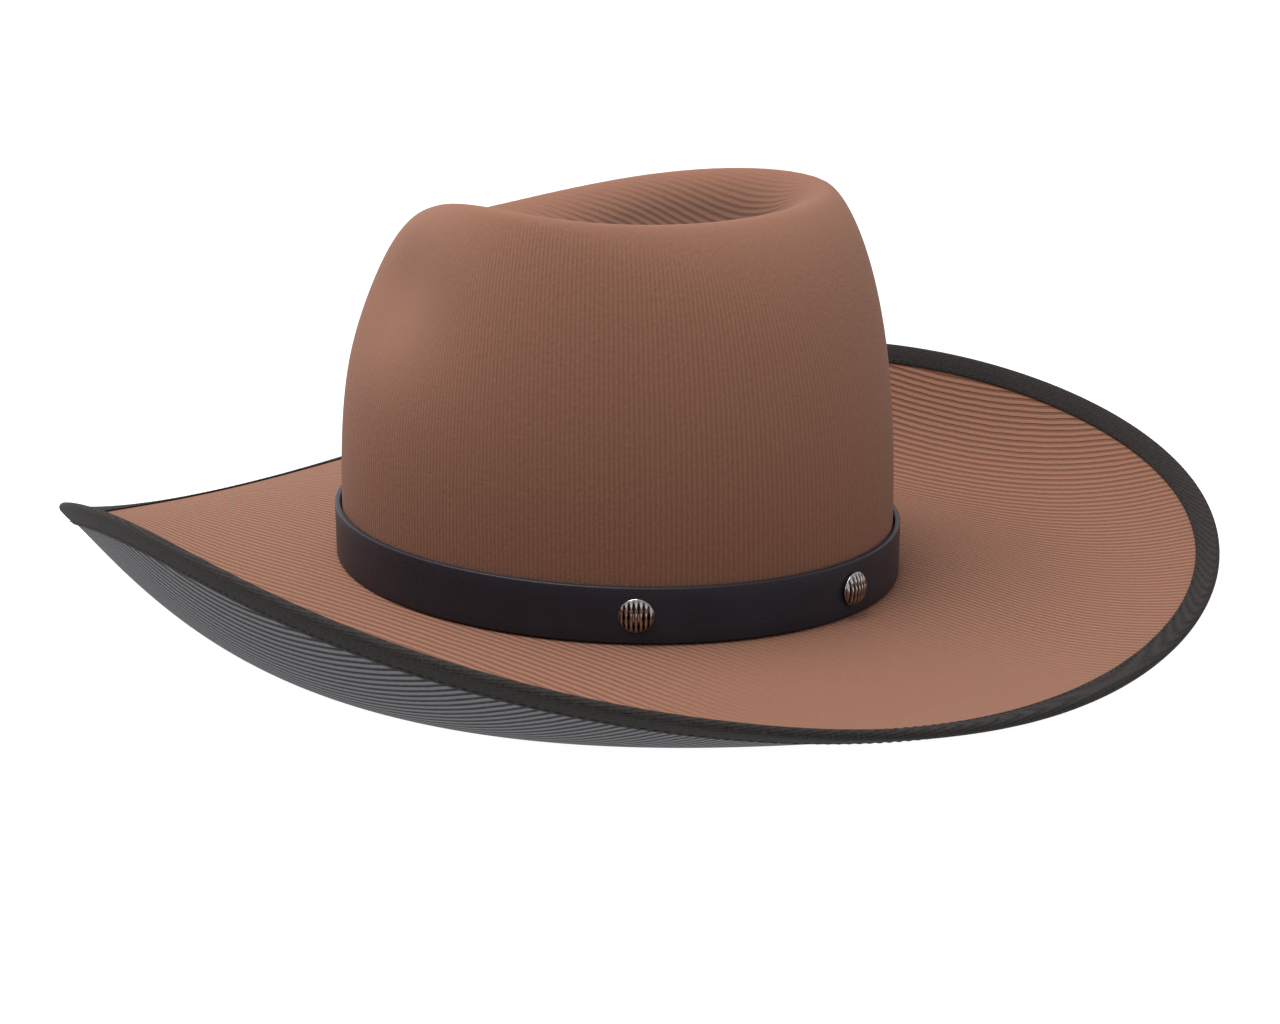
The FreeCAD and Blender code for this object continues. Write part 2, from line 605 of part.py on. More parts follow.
KNOT = ("sizes.bow_half_width / 6", "sizes.bow_half_height / 3")
LOOP = ("sizes.bow_half_width", "sizes.bow_half_height")
BOW_OUTLINE = [("-" + LOOP[0], "-" + LOOP[1]), ("-" + KNOT[0], "-" + KNOT[1]), (KNOT[0], "-" + KNOT[1]),
               (LOOP[0], "-" + LOOP[1]), LOOP, KNOT, ("-" + KNOT[0], KNOT[1]), ("-" + LOOP[0], LOOP[1])]
bow = flat_piece("sweatband_bow", BOW_OUTLINE, "sizes.bow_wall")
lean = size("sweatband_lean")
bow_chord = math.sqrt(1.0 - (size("bow_half_width") / (size("head_half_width") - lean)) ** 2)
bow.Placement.Base = FreeCAD.Vector(0.0, (size("head_half_length") - lean) * bow_chord, size("bow_level"))
pieces.append(bow)

# ---------------------------------------------------------------- the band, its studs and its rivets
band_outside = oval_prism("band_outside", BAND_OUTER_TEXT, "0", "sizes.band_height")
band_inside = oval_prism("band_inside", BAND_INNER_TEXT, "0", "sizes.band_height")
lap_outside = oval_prism("lap_outside", BAND_OUTER_TEXT + " + sizes.band_wall", "0", "sizes.band_height")
WEDGE_REACH = "2 * (sizes.head_half_length + sizes.head_half_width)"  # well past the strap
lap_wedge = round_block("lap_wedge", WEDGE_REACH, "sizes.band_height")
lap_wedge.setExpression("Angle", "sizes.band_lap_span")
lap_wedge.Placement.Rotation = FreeCAD.Rotation(
    FreeCAD.Vector(0, 0, 1), 90.0 - size("band_lap_angle") - size("band_lap_span") / 2.0)
lap_sector = doc.addObject("Part::Common", "lap_sector")
lap_sector.Base, lap_sector.Tool = lap_outside, lap_wedge
strap_blank = doc.addObject("Part::Fuse", "strap_blank")
strap_blank.Base, strap_blank.Tool = band_outside, lap_sector

holes = [band_inside]
STUDS = {"left": size("stud_spacing"), "rear": 0.0, "right": -size("stud_spacing")}
for side, degrees in STUDS.items():
    hole = round_block("screw_hole_" + side, "sizes.screw_radius + sizes.hole_clearance",
                       "2 * sizes.band_wall")
    recess = round_block("screw_recess_" + side, "sizes.screw_head_radius + sizes.hole_clearance",
                         "2 * sizes.screw_recess")
    holes.append(on_band(hole, degrees, -size("band_wall") / 2.0))
    holes.append(on_band(recess, degrees, -size("screw_recess")))
RIVETS = {"front": size("band_lap_angle") - size("rivet_offset"),
          "back": size("band_lap_angle") + size("rivet_offset")}
for side, degrees in RIVETS.items():
    hole = round_block("rivet_hole_" + side, "sizes.rivet_radius + sizes.hole_clearance",
                       "4 * sizes.band_wall")
    recess = round_block("rivet_recess_" + side, "sizes.rivet_head_radius + sizes.hole_clearance",
                         "2 * (sizes.rivet_head_wall + sizes.hole_clearance)")
    holes.append(on_band(hole, degrees, -size("band_wall")))
    holes.append(on_band(recess, degrees, -size("rivet_head_wall") - size("hole_clearance")))
pieces.append(cut("band_strap", strap_blank, *holes))

CAP_OUTLINE = [
    ("0", "sizes.screw_bite"), ("sizes.screw_radius", "sizes.screw_bite"), ("sizes.screw_radius", "0"),
    ("sizes.stud_radius", "0"), ("sizes.stud_radius", "sizes.stud_rim"),
    ("sizes.stud_crown_radius", "sizes.stud_crown_height"), ("0", "sizes.stud_dome")]
SCREW_END = "sizes.band_wall + sizes.washer_wall + sizes.screw_bite - sizes.seat_gap"
SCREW_OUTLINE = [
    ("0", "0"), ("sizes.screw_head_radius", "0"), ("sizes.screw_head_radius", "sizes.screw_head_wall"),
    ("sizes.screw_radius", "sizes.screw_head_wall"), ("sizes.screw_radius", SCREW_END), ("0", SCREW_END)]
WASHER_OUTLINE = [
    ("sizes.screw_radius + sizes.hole_clearance", "0"), ("sizes.washer_radius", "0"),
    ("sizes.washer_radius", "sizes.washer_wall"),
    ("sizes.screw_radius + sizes.hole_clearance", "sizes.washer_wall")]
for side, degrees in STUDS.items():
    washer_seat = size("band_wall")
    pieces.append(on_band(turned("stud_screw_" + side, SCREW_OUTLINE), degrees, size("seat_gap")))
    pieces.append(on_band(turned("stud_washer_" + side, WASHER_OUTLINE), degrees, washer_seat))
    pieces.append(on_band(turned("stud_cap_" + side, CAP_OUTLINE), degrees,
                          washer_seat + size("washer_wall")))

RIVET_OUTLINE = [
    ("0", "0"), ("sizes.rivet_head_radius", "0"), ("sizes.rivet_head_radius", "sizes.rivet_head_wall"),
    ("sizes.rivet_radius", "sizes.rivet_head_wall"), ("sizes.rivet_radius", "2 * sizes.band_wall"),
    ("sizes.rivet_head_radius", "2 * sizes.band_wall"),
    ("sizes.rivet_head_radius", "2 * sizes.band_wall + sizes.rivet_head_wall / 2"),
    ("sizes.rivet_radius", "2 * sizes.band_wall + sizes.rivet_head_wall"),
    ("0", "2 * sizes.band_wall + sizes.rivet_head_wall")]
for side, degrees in RIVETS.items():
    pieces.append(on_band(turned("band_rivet_" + side, RIVET_OUTLINE), degrees, size("seat_gap")))

# ---------------------------------------------------------------- checks and files
doc.recompute()
faults = [obj.Name for obj in doc.Objects if "Invalid" in obj.State or "Error" in obj.State]
for piece in pieces:
    if piece.Shape.isNull() or not piece.Shape.isValid() or piece.Shape.Volume <= 0.0:
        faults.append(piece.Label)
if faults:
    raise RuntimeError("pieces that failed: " + ", ".join(faults))
os.makedirs("parts", exist_ok=True)
for piece in pieces:
    piece.Shape.exportStep("parts/%s.step" % piece.Label)
    print(piece.Label, len(piece.Shape.Solids), round(piece.Shape.Volume, 1))
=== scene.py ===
"""The looks of a western hat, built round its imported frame.

Each sub-assembly is a class: it reads its place and outline from the frame's nodes, builds its
meshes and dresses them.  Everything is in metres, +Z up, the wearer faces -Y and the wearer's
left is +X.  Angles round the hat are counted from the rear (+Y) towards the wearer's left (+X).
"""

import json
import logging
import math
from dataclasses import dataclass, field
from enum import Enum
from typing import Dict, List, Optional, Sequence, Tuple

import bmesh
import bpy
from mathutils import Matrix, Vector
from mathutils.bvhtree import BVHTree
from mathutils.interpolate import poly_3d_calc


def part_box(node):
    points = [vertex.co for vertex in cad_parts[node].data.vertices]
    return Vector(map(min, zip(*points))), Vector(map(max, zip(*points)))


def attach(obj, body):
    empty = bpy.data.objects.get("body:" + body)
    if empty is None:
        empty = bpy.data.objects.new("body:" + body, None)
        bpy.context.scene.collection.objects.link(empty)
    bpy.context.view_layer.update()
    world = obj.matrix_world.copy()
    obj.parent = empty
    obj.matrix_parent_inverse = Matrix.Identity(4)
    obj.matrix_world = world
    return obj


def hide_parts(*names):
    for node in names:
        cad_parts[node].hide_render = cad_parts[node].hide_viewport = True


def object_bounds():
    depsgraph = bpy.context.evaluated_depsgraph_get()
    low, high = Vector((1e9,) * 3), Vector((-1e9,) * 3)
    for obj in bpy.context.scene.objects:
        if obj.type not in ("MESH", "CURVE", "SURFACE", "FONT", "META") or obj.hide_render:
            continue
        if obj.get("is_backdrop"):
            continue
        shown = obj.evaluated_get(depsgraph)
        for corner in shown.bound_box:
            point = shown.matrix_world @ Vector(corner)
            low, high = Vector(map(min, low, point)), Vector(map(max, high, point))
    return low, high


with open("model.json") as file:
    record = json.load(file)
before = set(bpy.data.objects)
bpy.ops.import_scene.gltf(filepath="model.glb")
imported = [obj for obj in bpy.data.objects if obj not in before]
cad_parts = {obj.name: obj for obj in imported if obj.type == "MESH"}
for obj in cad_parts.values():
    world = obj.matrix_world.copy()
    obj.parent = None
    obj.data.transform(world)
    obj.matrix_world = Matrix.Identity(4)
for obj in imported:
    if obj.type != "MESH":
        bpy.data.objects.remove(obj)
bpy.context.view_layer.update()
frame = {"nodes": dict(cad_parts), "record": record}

MM = 0.001
WELD = 1e-6                        # points closer than this are one point
TURN = 2.0 * math.pi
LAID = "laid"                      # mesh attribute: distance from the flat cloth's centre line
CREASE_DEPTH = "pressed"                # mesh attribute: how deep in the crease a point lies, for its ribs and painted shade
RECESS = "recess"                  # mesh attribute: how deep in a flute a point lies, for the flutes' painted shade
LOG = logging.getLogger("hat")

Net = List[List[Vector]]
Sockets = Optional[Dict[object, object]]


class Body(Enum):
    """The two bodies that pieces ride on."""

    HAT = "hat"
    BAND = "hat_band"


# --------------------------------------------------------------------------- colour and nodes
def linear(hex_colour: str) -> Tuple[float, float, float, float]:
    """Turns an sRGB hex value to linear colour.

    Args:
        hex_colour: six hex digits, with or without a leading #.

    Returns:
        Red, green, blue and an alpha of 1.
    """
    digits = hex_colour.lstrip("#")
    channels = [int(digits[i:i + 2], 16) / 255.0 for i in (0, 2, 4)]
    red, green, blue = (c / 12.92 if c <= 0.04045 else ((c + 0.055) / 1.055) ** 2.4
                        for c in channels)
    return red, green, blue, 1.0


def feed(tree: bpy.types.NodeTree, node: bpy.types.Node, links: Sockets = None,
         values: Sockets = None) -> None:
    """Sets a node's sockets.

    Args:
        tree: the material's node tree.
        node: the node to feed.
        links: input socket to the output socket that feeds it.
        values: input socket to its plain value.
    """
    for socket, value in (values or {}).items():
        node.inputs[socket].default_value = value
    for socket, source in (links or {}).items():
        tree.links.new(source, node.inputs[socket])


def add_node(tree: bpy.types.NodeTree, kind: str, links: Sockets = None, values: Sockets = None,
             **settings: object) -> bpy.types.Node:
    """Adds a shader node with its settings, socket values and incoming links.

    Args:
        tree: the material's node tree.
        kind: the node's type name, without the ShaderNode prefix.
        links: input socket to the output socket that feeds it.
        values: input socket to its plain value.
        **settings: the node's own attributes.

    Returns:
        The new node.
    """
    node = tree.nodes.new("ShaderNode" + kind)
    for name, setting in settings.items():
        setattr(node, name, setting)
    feed(tree, node, links, values)
    return node


def new_material(name: str) -> Tuple[bpy.types.Material, bpy.types.NodeTree, bpy.types.Node]:
    """Makes an empty node material with a principled shader.

    Args:
        name: the material's name.

    Returns:
        The material, its node tree and its principled shader.
    """
    material = bpy.data.materials.new(name)
    material.use_nodes = True
    tree = material.node_tree
    tree.nodes.clear()
    shader = add_node(tree, "BsdfPrincipled")
    add_node(tree, "OutputMaterial", links={"Surface": shader.outputs["BSDF"]})
    return material, tree, shader


# --------------------------------------------------------------------------- finishes
@dataclass(frozen=True)
class RibbedCloth:
    """Wool-blend ribbed cloth, woven with a raised cord and laid over the form.

    The eye sees matt parallel ribs that run from front to rear on the cloth as it was cut, with
    painted shade in their grooves, broken by the slubs of the yarn.  Up the crown's side finer ribs
    stand upright and are pressed nearly flat.  The crease's colour is painted darker for its shade,
    and in one patch of the brim the ribs' relief and painted groove shade fade.
    """

    name: str
    ridge: str
    # painted shade: the grooves' colour is darker than the ridges' to stand for the shade they hold
    groove: str
    pitch: float = 2.4 * MM        # rib spacing, drawn coarser than the real cord so that it shows
    relief: float = 0.32 * MM
    grain: float = 1.5 * MM        # yarn slubs, drawn coarser than real ones to show
    grain_relief: float = 0.2 * MM
    roughness: float = 0.92
    sheen: float = 0.1
    sheen_tint: str = "#C9A08C"
    slub: float = 4.0              # a slub's size, in ribs
    waver: float = 0.35            # how far slubs push a rib aside, in ribs
    yarn_shade: float = 0.45       # how much the yarn's grain shades the colour
    yarn_level: float = 0.28       # the colour's level where the grain is darkest
    upright_ribs: int = 0          # ribs round an upright wall, a whole number so that they close
    upright_share: float = 0.3     # how much of a rib's relief the pressing leaves there
    upright_fade: Tuple[float, float] = (0.3, 0.75)    # how level the wall is where they fade
    painted_crease_shade: float = 1.0      # painted shade: how light the colour is kept at the crease's floor
    # a patch round this place, out to the second reach, where the ribs' relief and painted groove shade
    # fade
    rib_fade_place: Tuple[float, float, float] = (0.0, 0.0, 0.0)
    rib_fade_reach: Tuple[float, float] = (0.0, 0.0)
    rib_fade_share: float = 0.08       # how much of a rib's relief and painted groove shade is left in the faded patch

    def rib(self, tree: bpy.types.NodeTree, turned: object, slub: object) -> object:
        """Shapes an angle that grows by one turn a rib into round ridges and narrow grooves.

        Args:
            tree: the material's node tree.
            turned: the angle's output socket.
            slub: the noise that pushes ribs aside.

        Returns:
            The socket of the height, from -0.5 in a groove to 0.5 on a ridge.
        """
        pushed = add_node(tree, "Math", operation="MULTIPLY_ADD", values={1: self.waver * TURN},
                          links={0: slub, 2: turned})
        wave = add_node(tree, "Math", operation="SINE", links={0: pushed.outputs[0]})
        shaped = add_node(tree, "MapRange", interpolation_type="SMOOTHERSTEP",
                          links={"Value": wave.outputs[0]},
                          values={"From Min": -1.0, "From Max": 0.7, "To Min": -0.5, "To Max": 0.5})
        return shaped.outputs["Result"]

    def ribs(self, tree: bpy.types.NodeTree, place: bpy.types.Node) -> object:
        """Lays out the ribs.

        Args:
            tree: the material's node tree.
            place: the texture coordinates.

        Returns:
            The socket of the ribs' height, from -0.5 to 0.5.
        """
        where = place.outputs["Object"]
        slub = add_node(tree, "TexNoise", links={"Vector": where},
                        values={"Scale": 1.0 / (self.slub * self.pitch), "Detail": 3.0,
                                "Roughness": 0.6}).outputs["Fac"]
        flat = add_node(tree, "Attribute", attribute_name=LAID)
        across = add_node(tree, "Math", operation="MULTIPLY", links={0: flat.outputs["Fac"]},
                          values={1: TURN / self.pitch})
        laid = self.rib(tree, across.outputs[0], slub)
        # in one patch the ribs fade, and with them their painted groove shade
        if self.rib_fade_reach[1] > 0.0:
            gap = add_node(tree, "VectorMath", operation="DISTANCE", links={0: where},
                           values={1: self.rib_fade_place})
            kept = add_node(tree, "MapRange", interpolation_type="SMOOTHSTEP",
                            links={"Value": gap.outputs["Value"]},
                            values={"From Min": self.rib_fade_reach[0], "From Max": self.rib_fade_reach[1],
                                    "To Min": self.rib_fade_share})
            laid = add_node(tree, "Math", operation="MULTIPLY",
                            links={0: laid, 1: kept.outputs["Result"]}).outputs[0]
        if not self.upright_ribs:
            return laid
        plain = add_node(tree, "SeparateXYZ", links={"Vector": where})
        turn = add_node(tree, "Math", operation="ARCTAN2",
                        links={0: plain.outputs["X"], 1: plain.outputs["Y"]})
        around = add_node(tree, "Math", operation="MULTIPLY", links={0: turn.outputs[0]},
                          values={1: float(self.upright_ribs)})
        normal = add_node(tree, "SeparateXYZ", links={"Vector": place.outputs["Normal"]})
        level = add_node(tree, "Math", operation="ABSOLUTE", links={0: normal.outputs["Z"]})
        share = add_node(tree, "MapRange", interpolation_type="SMOOTHSTEP",
                         links={"Value": level.outputs[0]},
                         values={"From Min": self.upright_fade[0], "From Max": self.upright_fade[1],
                                 "To Min": self.upright_share, "To Max": 0.0})
        upright = add_node(tree, "Math", operation="MULTIPLY", links={
            0: self.rib(tree, around.outputs[0], slub), 1: share.outputs["Result"]})
        mixed = add_node(tree, "Mix", links={"Factor": self.pressed(tree), 2: upright.outputs[0],
                                             3: laid})
        return mixed.outputs[0]

    def pressed(self, tree: bpy.types.NodeTree) -> object:
        """The socket that says how deep in the crease a place lies, from 0 to 1 at its floor."""
        return add_node(tree, "Attribute", attribute_name=CREASE_DEPTH).outputs["Fac"]

    def build(self) -> bpy.types.Material:
        """Makes the material.

        Returns:
            The cloth's material.
        """
        material, tree, shader = new_material(self.name)
        place = add_node(tree, "TexCoord")
        rib = self.ribs(tree, place)
        yarn = add_node(tree, "TexNoise", links={"Vector": place.outputs["Object"]},
                        values={"Scale": 1.0 / self.grain, "Detail": 2.0, "Roughness": 0.7})
        ribs = add_node(tree, "Math", operation="MULTIPLY", links={0: rib}, values={1: self.relief})
        height = add_node(tree, "Math", operation="MULTIPLY_ADD", values={1: self.grain_relief},
                          links={0: yarn.outputs["Fac"], 2: ribs.outputs[0]})
        bump = add_node(tree, "Bump", links={"Height": height.outputs[0]},
                        values={"Strength": 1.0, "Distance": 1.0})
        shade = add_node(tree, "Math", operation="MULTIPLY_ADD", links={0: yarn.outputs["Fac"]},
                         values={1: self.yarn_shade, 2: self.yarn_level})
        mixed = add_node(tree, "Math", operation="ADD", use_clamp=True,
                         links={0: rib, 1: shade.outputs[0]})
        # painted shade: the mix gives the grooves the darker colour
        colour = add_node(tree, "Mix", data_type="RGBA", links={"Factor": mixed.outputs[0]},
                          values={6: linear(self.groove), 7: linear(self.ridge)}).outputs[2]
        # painted shade: the colour darkens towards the crease's floor
        if self.painted_crease_shade < 1.0:
            darkening = add_node(tree, "MapRange", links={"Value": self.pressed(tree)},
                                 values={"To Min": 1.0, "To Max": self.painted_crease_shade})
            darker = add_node(tree, "VectorMath", operation="SCALE",
                              links={0: colour, "Scale": darkening.outputs["Result"]})
            colour = darker.outputs["Vector"]
        feed(tree, shader, {"Base Color": colour, "Normal": bump.outputs["Normal"]},
             {"Roughness": self.roughness, "Sheen Weight": self.sheen, "Sheen Roughness": 0.5,
              "Sheen Tint": linear(self.sheen_tint), "Specular IOR Level": 0.25})
        return material


@dataclass(frozen=True)
class WovenTape:
    """Close woven cotton tape or ribbon: small crossing threads, matt, nearly one colour."""

    name: str
    light: str
    dark: str
    thread: float = 0.7 * MM       # thread spacing, drawn at twice the real one so that it shows
    relief: float = 0.12 * MM
    roughness: float = 0.85

    def build(self) -> bpy.types.Material:
        """Makes the material.

        Returns:
            The tape's material.
        """
        material, tree, shader = new_material(self.name)
        place = add_node(tree, "TexCoord")
        split = add_node(tree, "SeparateXYZ", links={"Vector": place.outputs["Object"]})
        waves = []
        for axis in ("X", "Y", "Z"):
            turned = add_node(tree, "Math", operation="MULTIPLY", links={0: split.outputs[axis]},
                              values={1: TURN / self.thread})
            waves.append(add_node(tree, "Math", operation="SINE", links={0: turned.outputs[0]}))
        crossed = add_node(tree, "Math", operation="MULTIPLY",
                           links={0: waves[0].outputs[0], 1: waves[1].outputs[0]})
        woven = add_node(tree, "Math", operation="ADD",
                         links={0: crossed.outputs[0], 1: waves[2].outputs[0]})
        fuzz = add_node(tree, "TexNoise", links={"Vector": place.outputs["Object"]},
                        values={"Scale": 0.8 / self.thread, "Detail": 3.0, "Roughness": 0.65})
        both = add_node(tree, "Math", operation="MULTIPLY_ADD", values={1: 6.0},
                        links={0: fuzz.outputs["Fac"], 2: woven.outputs[0]})
        level = add_node(tree, "MapRange", links={"Value": both.outputs[0]},
                         values={"From Min": 0.5, "From Max": 5.5})
        bump = add_node(tree, "Bump", links={"Height": level.outputs["Result"]},
                        values={"Strength": 1.0, "Distance": self.relief})
        colour = add_node(tree, "Mix", data_type="RGBA", links={"Factor": level.outputs["Result"]},
                          values={6: linear(self.dark), 7: linear(self.light)})
        feed(tree, shader, {"Base Color": colour.outputs[2], "Normal": bump.outputs["Normal"]},
             {"Roughness": self.roughness, "Specular IOR Level": 0.15})
        return material


@dataclass(frozen=True)
class Leather:
    """Smooth cowhide, drum dyed and lightly waxed: a satin face with a fine pore grain."""

    name: str
    face: str
    deep: str
    pore: float = 0.9 * MM
    relief: float = 0.05 * MM
    roughness: float = 0.42
    coat: float = 0.15
    gloss: float = 0.5             # share of the surface's mirror light, 0.5 for bare leather
    clouds: float = 60.0           # how many times a metre the dye's shade changes
    waxed: float = 0.06            # how much smoother the waxed places are
    dry: float = 0.08              # how much rougher the dry places are

    def build(self) -> bpy.types.Material:
        """Makes the material.

        Returns:
            The leather's material.
        """
        material, tree, shader = new_material(self.name)
        place = add_node(tree, "TexCoord")
        pores = add_node(tree, "TexVoronoi", links={"Vector": place.outputs["Object"]},
                         values={"Scale": 1.0 / self.pore, "Randomness": 1.0})
        cloud = add_node(tree, "TexNoise", links={"Vector": place.outputs["Object"]},
                         values={"Scale": self.clouds, "Detail": 4.0})
        bump = add_node(tree, "Bump", links={"Height": pores.outputs["Distance"]},
                        values={"Strength": 1.0, "Distance": self.relief})
        colour = add_node(tree, "Mix", data_type="RGBA", links={"Factor": cloud.outputs["Fac"]},
                          values={6: linear(self.deep), 7: linear(self.face)})
        rough = add_node(tree, "MapRange", links={"Value": cloud.outputs["Fac"]},
                         values={"To Min": self.roughness - self.waxed,
                                 "To Max": self.roughness + self.dry})
        feed(tree, shader, {"Base Color": colour.outputs[2], "Roughness": rough.outputs["Result"],
                            "Normal": bump.outputs["Normal"]},
             {"Specular IOR Level": self.gloss, "Coat Weight": self.coat, "Coat Roughness": 0.3})
        return material


@dataclass(frozen=True)
class Metal:
    """Plated, drawn or turned metal: full metallic with a faint tool or casting texture."""

    name: str
    bright: str
    dull: str
    roughness: float = 0.12
    grit: float = 1.2 * MM
    relief: float = 0.02 * MM
    painted_flute_shade: str = "#000000"         # painted shade and reflection: dark colour laid in the flutes

    def build(self) -> bpy.types.Material:
        """Makes the material.

        Returns:
            The metal's material.
        """
        material, tree, shader = new_material(self.name)
        place = add_node(tree, "TexCoord")
        worn = add_node(tree, "TexNoise", links={"Vector": place.outputs["Object"]},
                        values={"Scale": 1.0 / self.grit, "Detail": 4.0})
        colour = add_node(tree, "Mix", data_type="RGBA", links={"Factor": worn.outputs["Fac"]},
                          values={6: linear(self.dull), 7: linear(self.bright)})
        # painted shade: the flutes take a dark colour for the shade and dark reflections they hold
        flute = add_node(tree, "Attribute", attribute_name=RECESS)
        colour = add_node(tree, "Mix", data_type="RGBA",
                          links={"Factor": flute.outputs["Fac"], 6: colour.outputs[2]},
                          values={7: linear(self.painted_flute_shade)})
        rough = add_node(tree, "MapRange", links={"Value": worn.outputs["Fac"]},
                         values={"To Min": self.roughness * 0.7, "To Max": self.roughness * 1.6})
        bump = add_node(tree, "Bump", links={"Height": worn.outputs["Fac"]},
                        values={"Strength": 1.0, "Distance": self.relief})
        feed(tree, shader, {"Base Color": colour.outputs[2], "Roughness": rough.outputs["Result"],
                            "Normal": bump.outputs["Normal"]}, {"Metallic": 1.0})
        return material


@dataclass(frozen=True)
class Plastic:
    """Extruded polyethylene reed: even, waxy and faintly cloudy."""

    name: str
    face: str
    deep: str
    roughness: float = 0.45
    clouds: float = 300.0          # how many times a metre the shade changes

    def build(self) -> bpy.types.Material:
        """Makes the material.

        Returns:
            The plastic's material.
        """
        material, tree, shader = new_material(self.name)
        place = add_node(tree, "TexCoord")
        cloud = add_node(tree, "TexNoise", links={"Vector": place.outputs["Object"]},
                         values={"Scale": self.clouds})
        colour = add_node(tree, "Mix", data_type="RGBA", links={"Factor": cloud.outputs["Fac"]},
                          values={6: linear(self.deep), 7: linear(self.face)})
        feed(tree, shader, {"Base Color": colour.outputs[2]}, {"Roughness": self.roughness})
        return material


class Wardrobe:
    """Every finish of the hat, built once and kept by the record's slot name."""

    FINISHES = {
        "brown_ribbed_cloth": RibbedCloth("brown ribbed wool cloth, woven", "#7B5442", "#5D4033",
                                          rib_fade_place=(0.045, 0.155, -0.01),
                                          rib_fade_reach=(0.035, 0.095)),
        # the crown's cloth is painted darker in its crease, for the crease's shade
        "brown_crown_cloth": RibbedCloth("brown ribbed wool cloth, steamed and pressed", "#785240",
                                         "#5B3D30", pitch=2.3 * MM, upright_ribs=380,
                                         painted_crease_shade=0.5),
        "black_ribbed_cloth": RibbedCloth("black ribbed wool cloth, woven", "#5A5A5E", "#121213",
                                          pitch=2.2 * MM, sheen=0.05, sheen_tint="#FFFFFF",
                                          waver=0.2),
        "black_binding_tape": WovenTape("black cotton binding, woven", "#2E2A29", "#0D0C0B",
                                        thread=0.8 * MM),
        "buckram": WovenTape("buckram, starched open weave", "#C9BFA6", "#8E8468", thread=1.4 * MM),
        "lining_satin": WovenTape("black lining satin, woven", "#2B2726", "#171414",
                                  thread=0.5 * MM, relief=0.02 * MM, roughness=0.38),
        "spring_steel": Metal("spring steel wire, drawn", "#A9A9AB", "#7C7C80", roughness=0.3),
        "brass_ferrule": Metal("brass tube, drawn", "#D8B36A", "#A98342", roughness=0.3),
        "sweatband_leather": Leather("dark brown sheepskin, skived and dyed", "#6A4431", "#4A2C1F",
                                     roughness=0.5, coat=0.05),
        "reed_tape_cloth": WovenTape("black reed tape, woven", "#3A3634", "#1A1817",
                                     thread=0.6 * MM),
        "reed_plastic": Plastic("polyethylene reed, extruded", "#E4E2DB", "#CFCCC3"),
        "bow_ribbon": WovenTape("black grosgrain ribbon, woven", "#2E2D30", "#131315",
                                thread=0.8 * MM, roughness=0.55),
        "band_leather": Leather("black cowhide, drum dyed and waxed", "#25242B", "#1B1A21",
                                coat=0.0, gloss=0.2),
        # the studs' flutes are painted dark, for the shade and dark reflections they hold
        "dark_chrome": Metal("dark chrome plate over cast zinc, flutes painted dark", "#C2BEBC", "#8E8A88",
                             roughness=0.12, painted_flute_shade="#0E0C0C"),
        "screw_steel": Metal("steel, turned", "#B7B6B4", "#8C8B8A", roughness=0.28),
        "washer_steel": Metal("steel sheet, stamped", "#9C9B9B", "#767575", roughness=0.35),
    }

    def __init__(self) -> None:
        """Builds every finish."""
        self.materials = {slot: finish.build() for slot, finish in self.FINISHES.items()}

    def dress(self, piece: bpy.types.Object, slot: str) -> None:
        """Gives a piece one finish.

        Args:
            piece: the mesh object.
            slot: the record's material slot.
        """
        piece.data.materials.clear()
        piece.data.materials.append(self.materials[slot])

    def dress_frame(self) -> None:
        """Gives every node of the frame the finish of its own slot."""
        slots = {part["node"]: part["material_slot"] for part in frame["record"]["subparts"]}
        for name, node in frame["nodes"].items():
            self.dress(node, slots[name])


# --------------------------------------------------------------------------- meshes
def mesh_piece(name: str, vertices: Sequence[Vector], faces: Sequence[Sequence[int]],
               marks: Optional[Dict[str, Sequence[float]]] = None) -> bpy.types.Object:
    """Makes a smooth-shaded mesh object.

    Args:
        name: the piece's name.
        vertices: its points.
        faces: point numbers of each face.
        marks: for each attribute that a finish reads, one number a point.

    Returns:
        The object, linked to the scene.
    """
    mesh = bpy.data.meshes.new(name)
    mesh.from_pydata([tuple(v) for v in vertices], [], [tuple(face) for face in faces])
    for mark, numbers in (marks or {}).items():
        mesh.attributes.new(mark, "FLOAT", "POINT").data.foreach_set("value", numbers)
    weld = bmesh.new()
    weld.from_mesh(mesh)
    bmesh.ops.remove_doubles(weld, verts=weld.verts, dist=WELD)
    weld.to_mesh(mesh)
    weld.free()
    mesh.polygons.foreach_set("use_smooth", [True] * len(mesh.polygons))
    mesh.update()
    piece = bpy.data.objects.new(name, mesh)
    bpy.context.scene.collection.objects.link(piece)
    return piece


def ring_faces(rows: int, around: int, first: int = 0, flip: bool = False) -> List[Tuple[int, ...]]:
    """Quads of a net that closes round the hat.

    Args:
        rows: number of rows in the net.
        around: points in each row.
        first: number of the net's first point.
        flip: whether to turn the faces over.

    Returns:
        Point numbers of each quad.
    """
    faces = []
    for row in range(rows - 1):
        for column in range(around):
            after = (column + 1) % around
            a, b = first + row * around + column, first + row * around + after
            quad = (a, b, b + around, a + around)
            faces.append(tuple(reversed(quad)) if flip else quad)
    return faces


def closed_skin(name: str, rings: Net) -> bpy.types.Object:
    """A closed skin from rings that run round a cross-section and back to the first one.

    Args:
        name: the piece's name.
        rings: rings of equal length; the last joins the first.

    Returns:
        The object.
    """
    around = len(rings[0])
    faces = ring_faces(len(rings), around)
    last = (len(rings) - 1) * around
    for column in range(around):
        after = (column + 1) % around
        faces.append((last + column, last + after, after, column))
    return mesh_piece(name, [point for ring in rings for point in ring], faces)


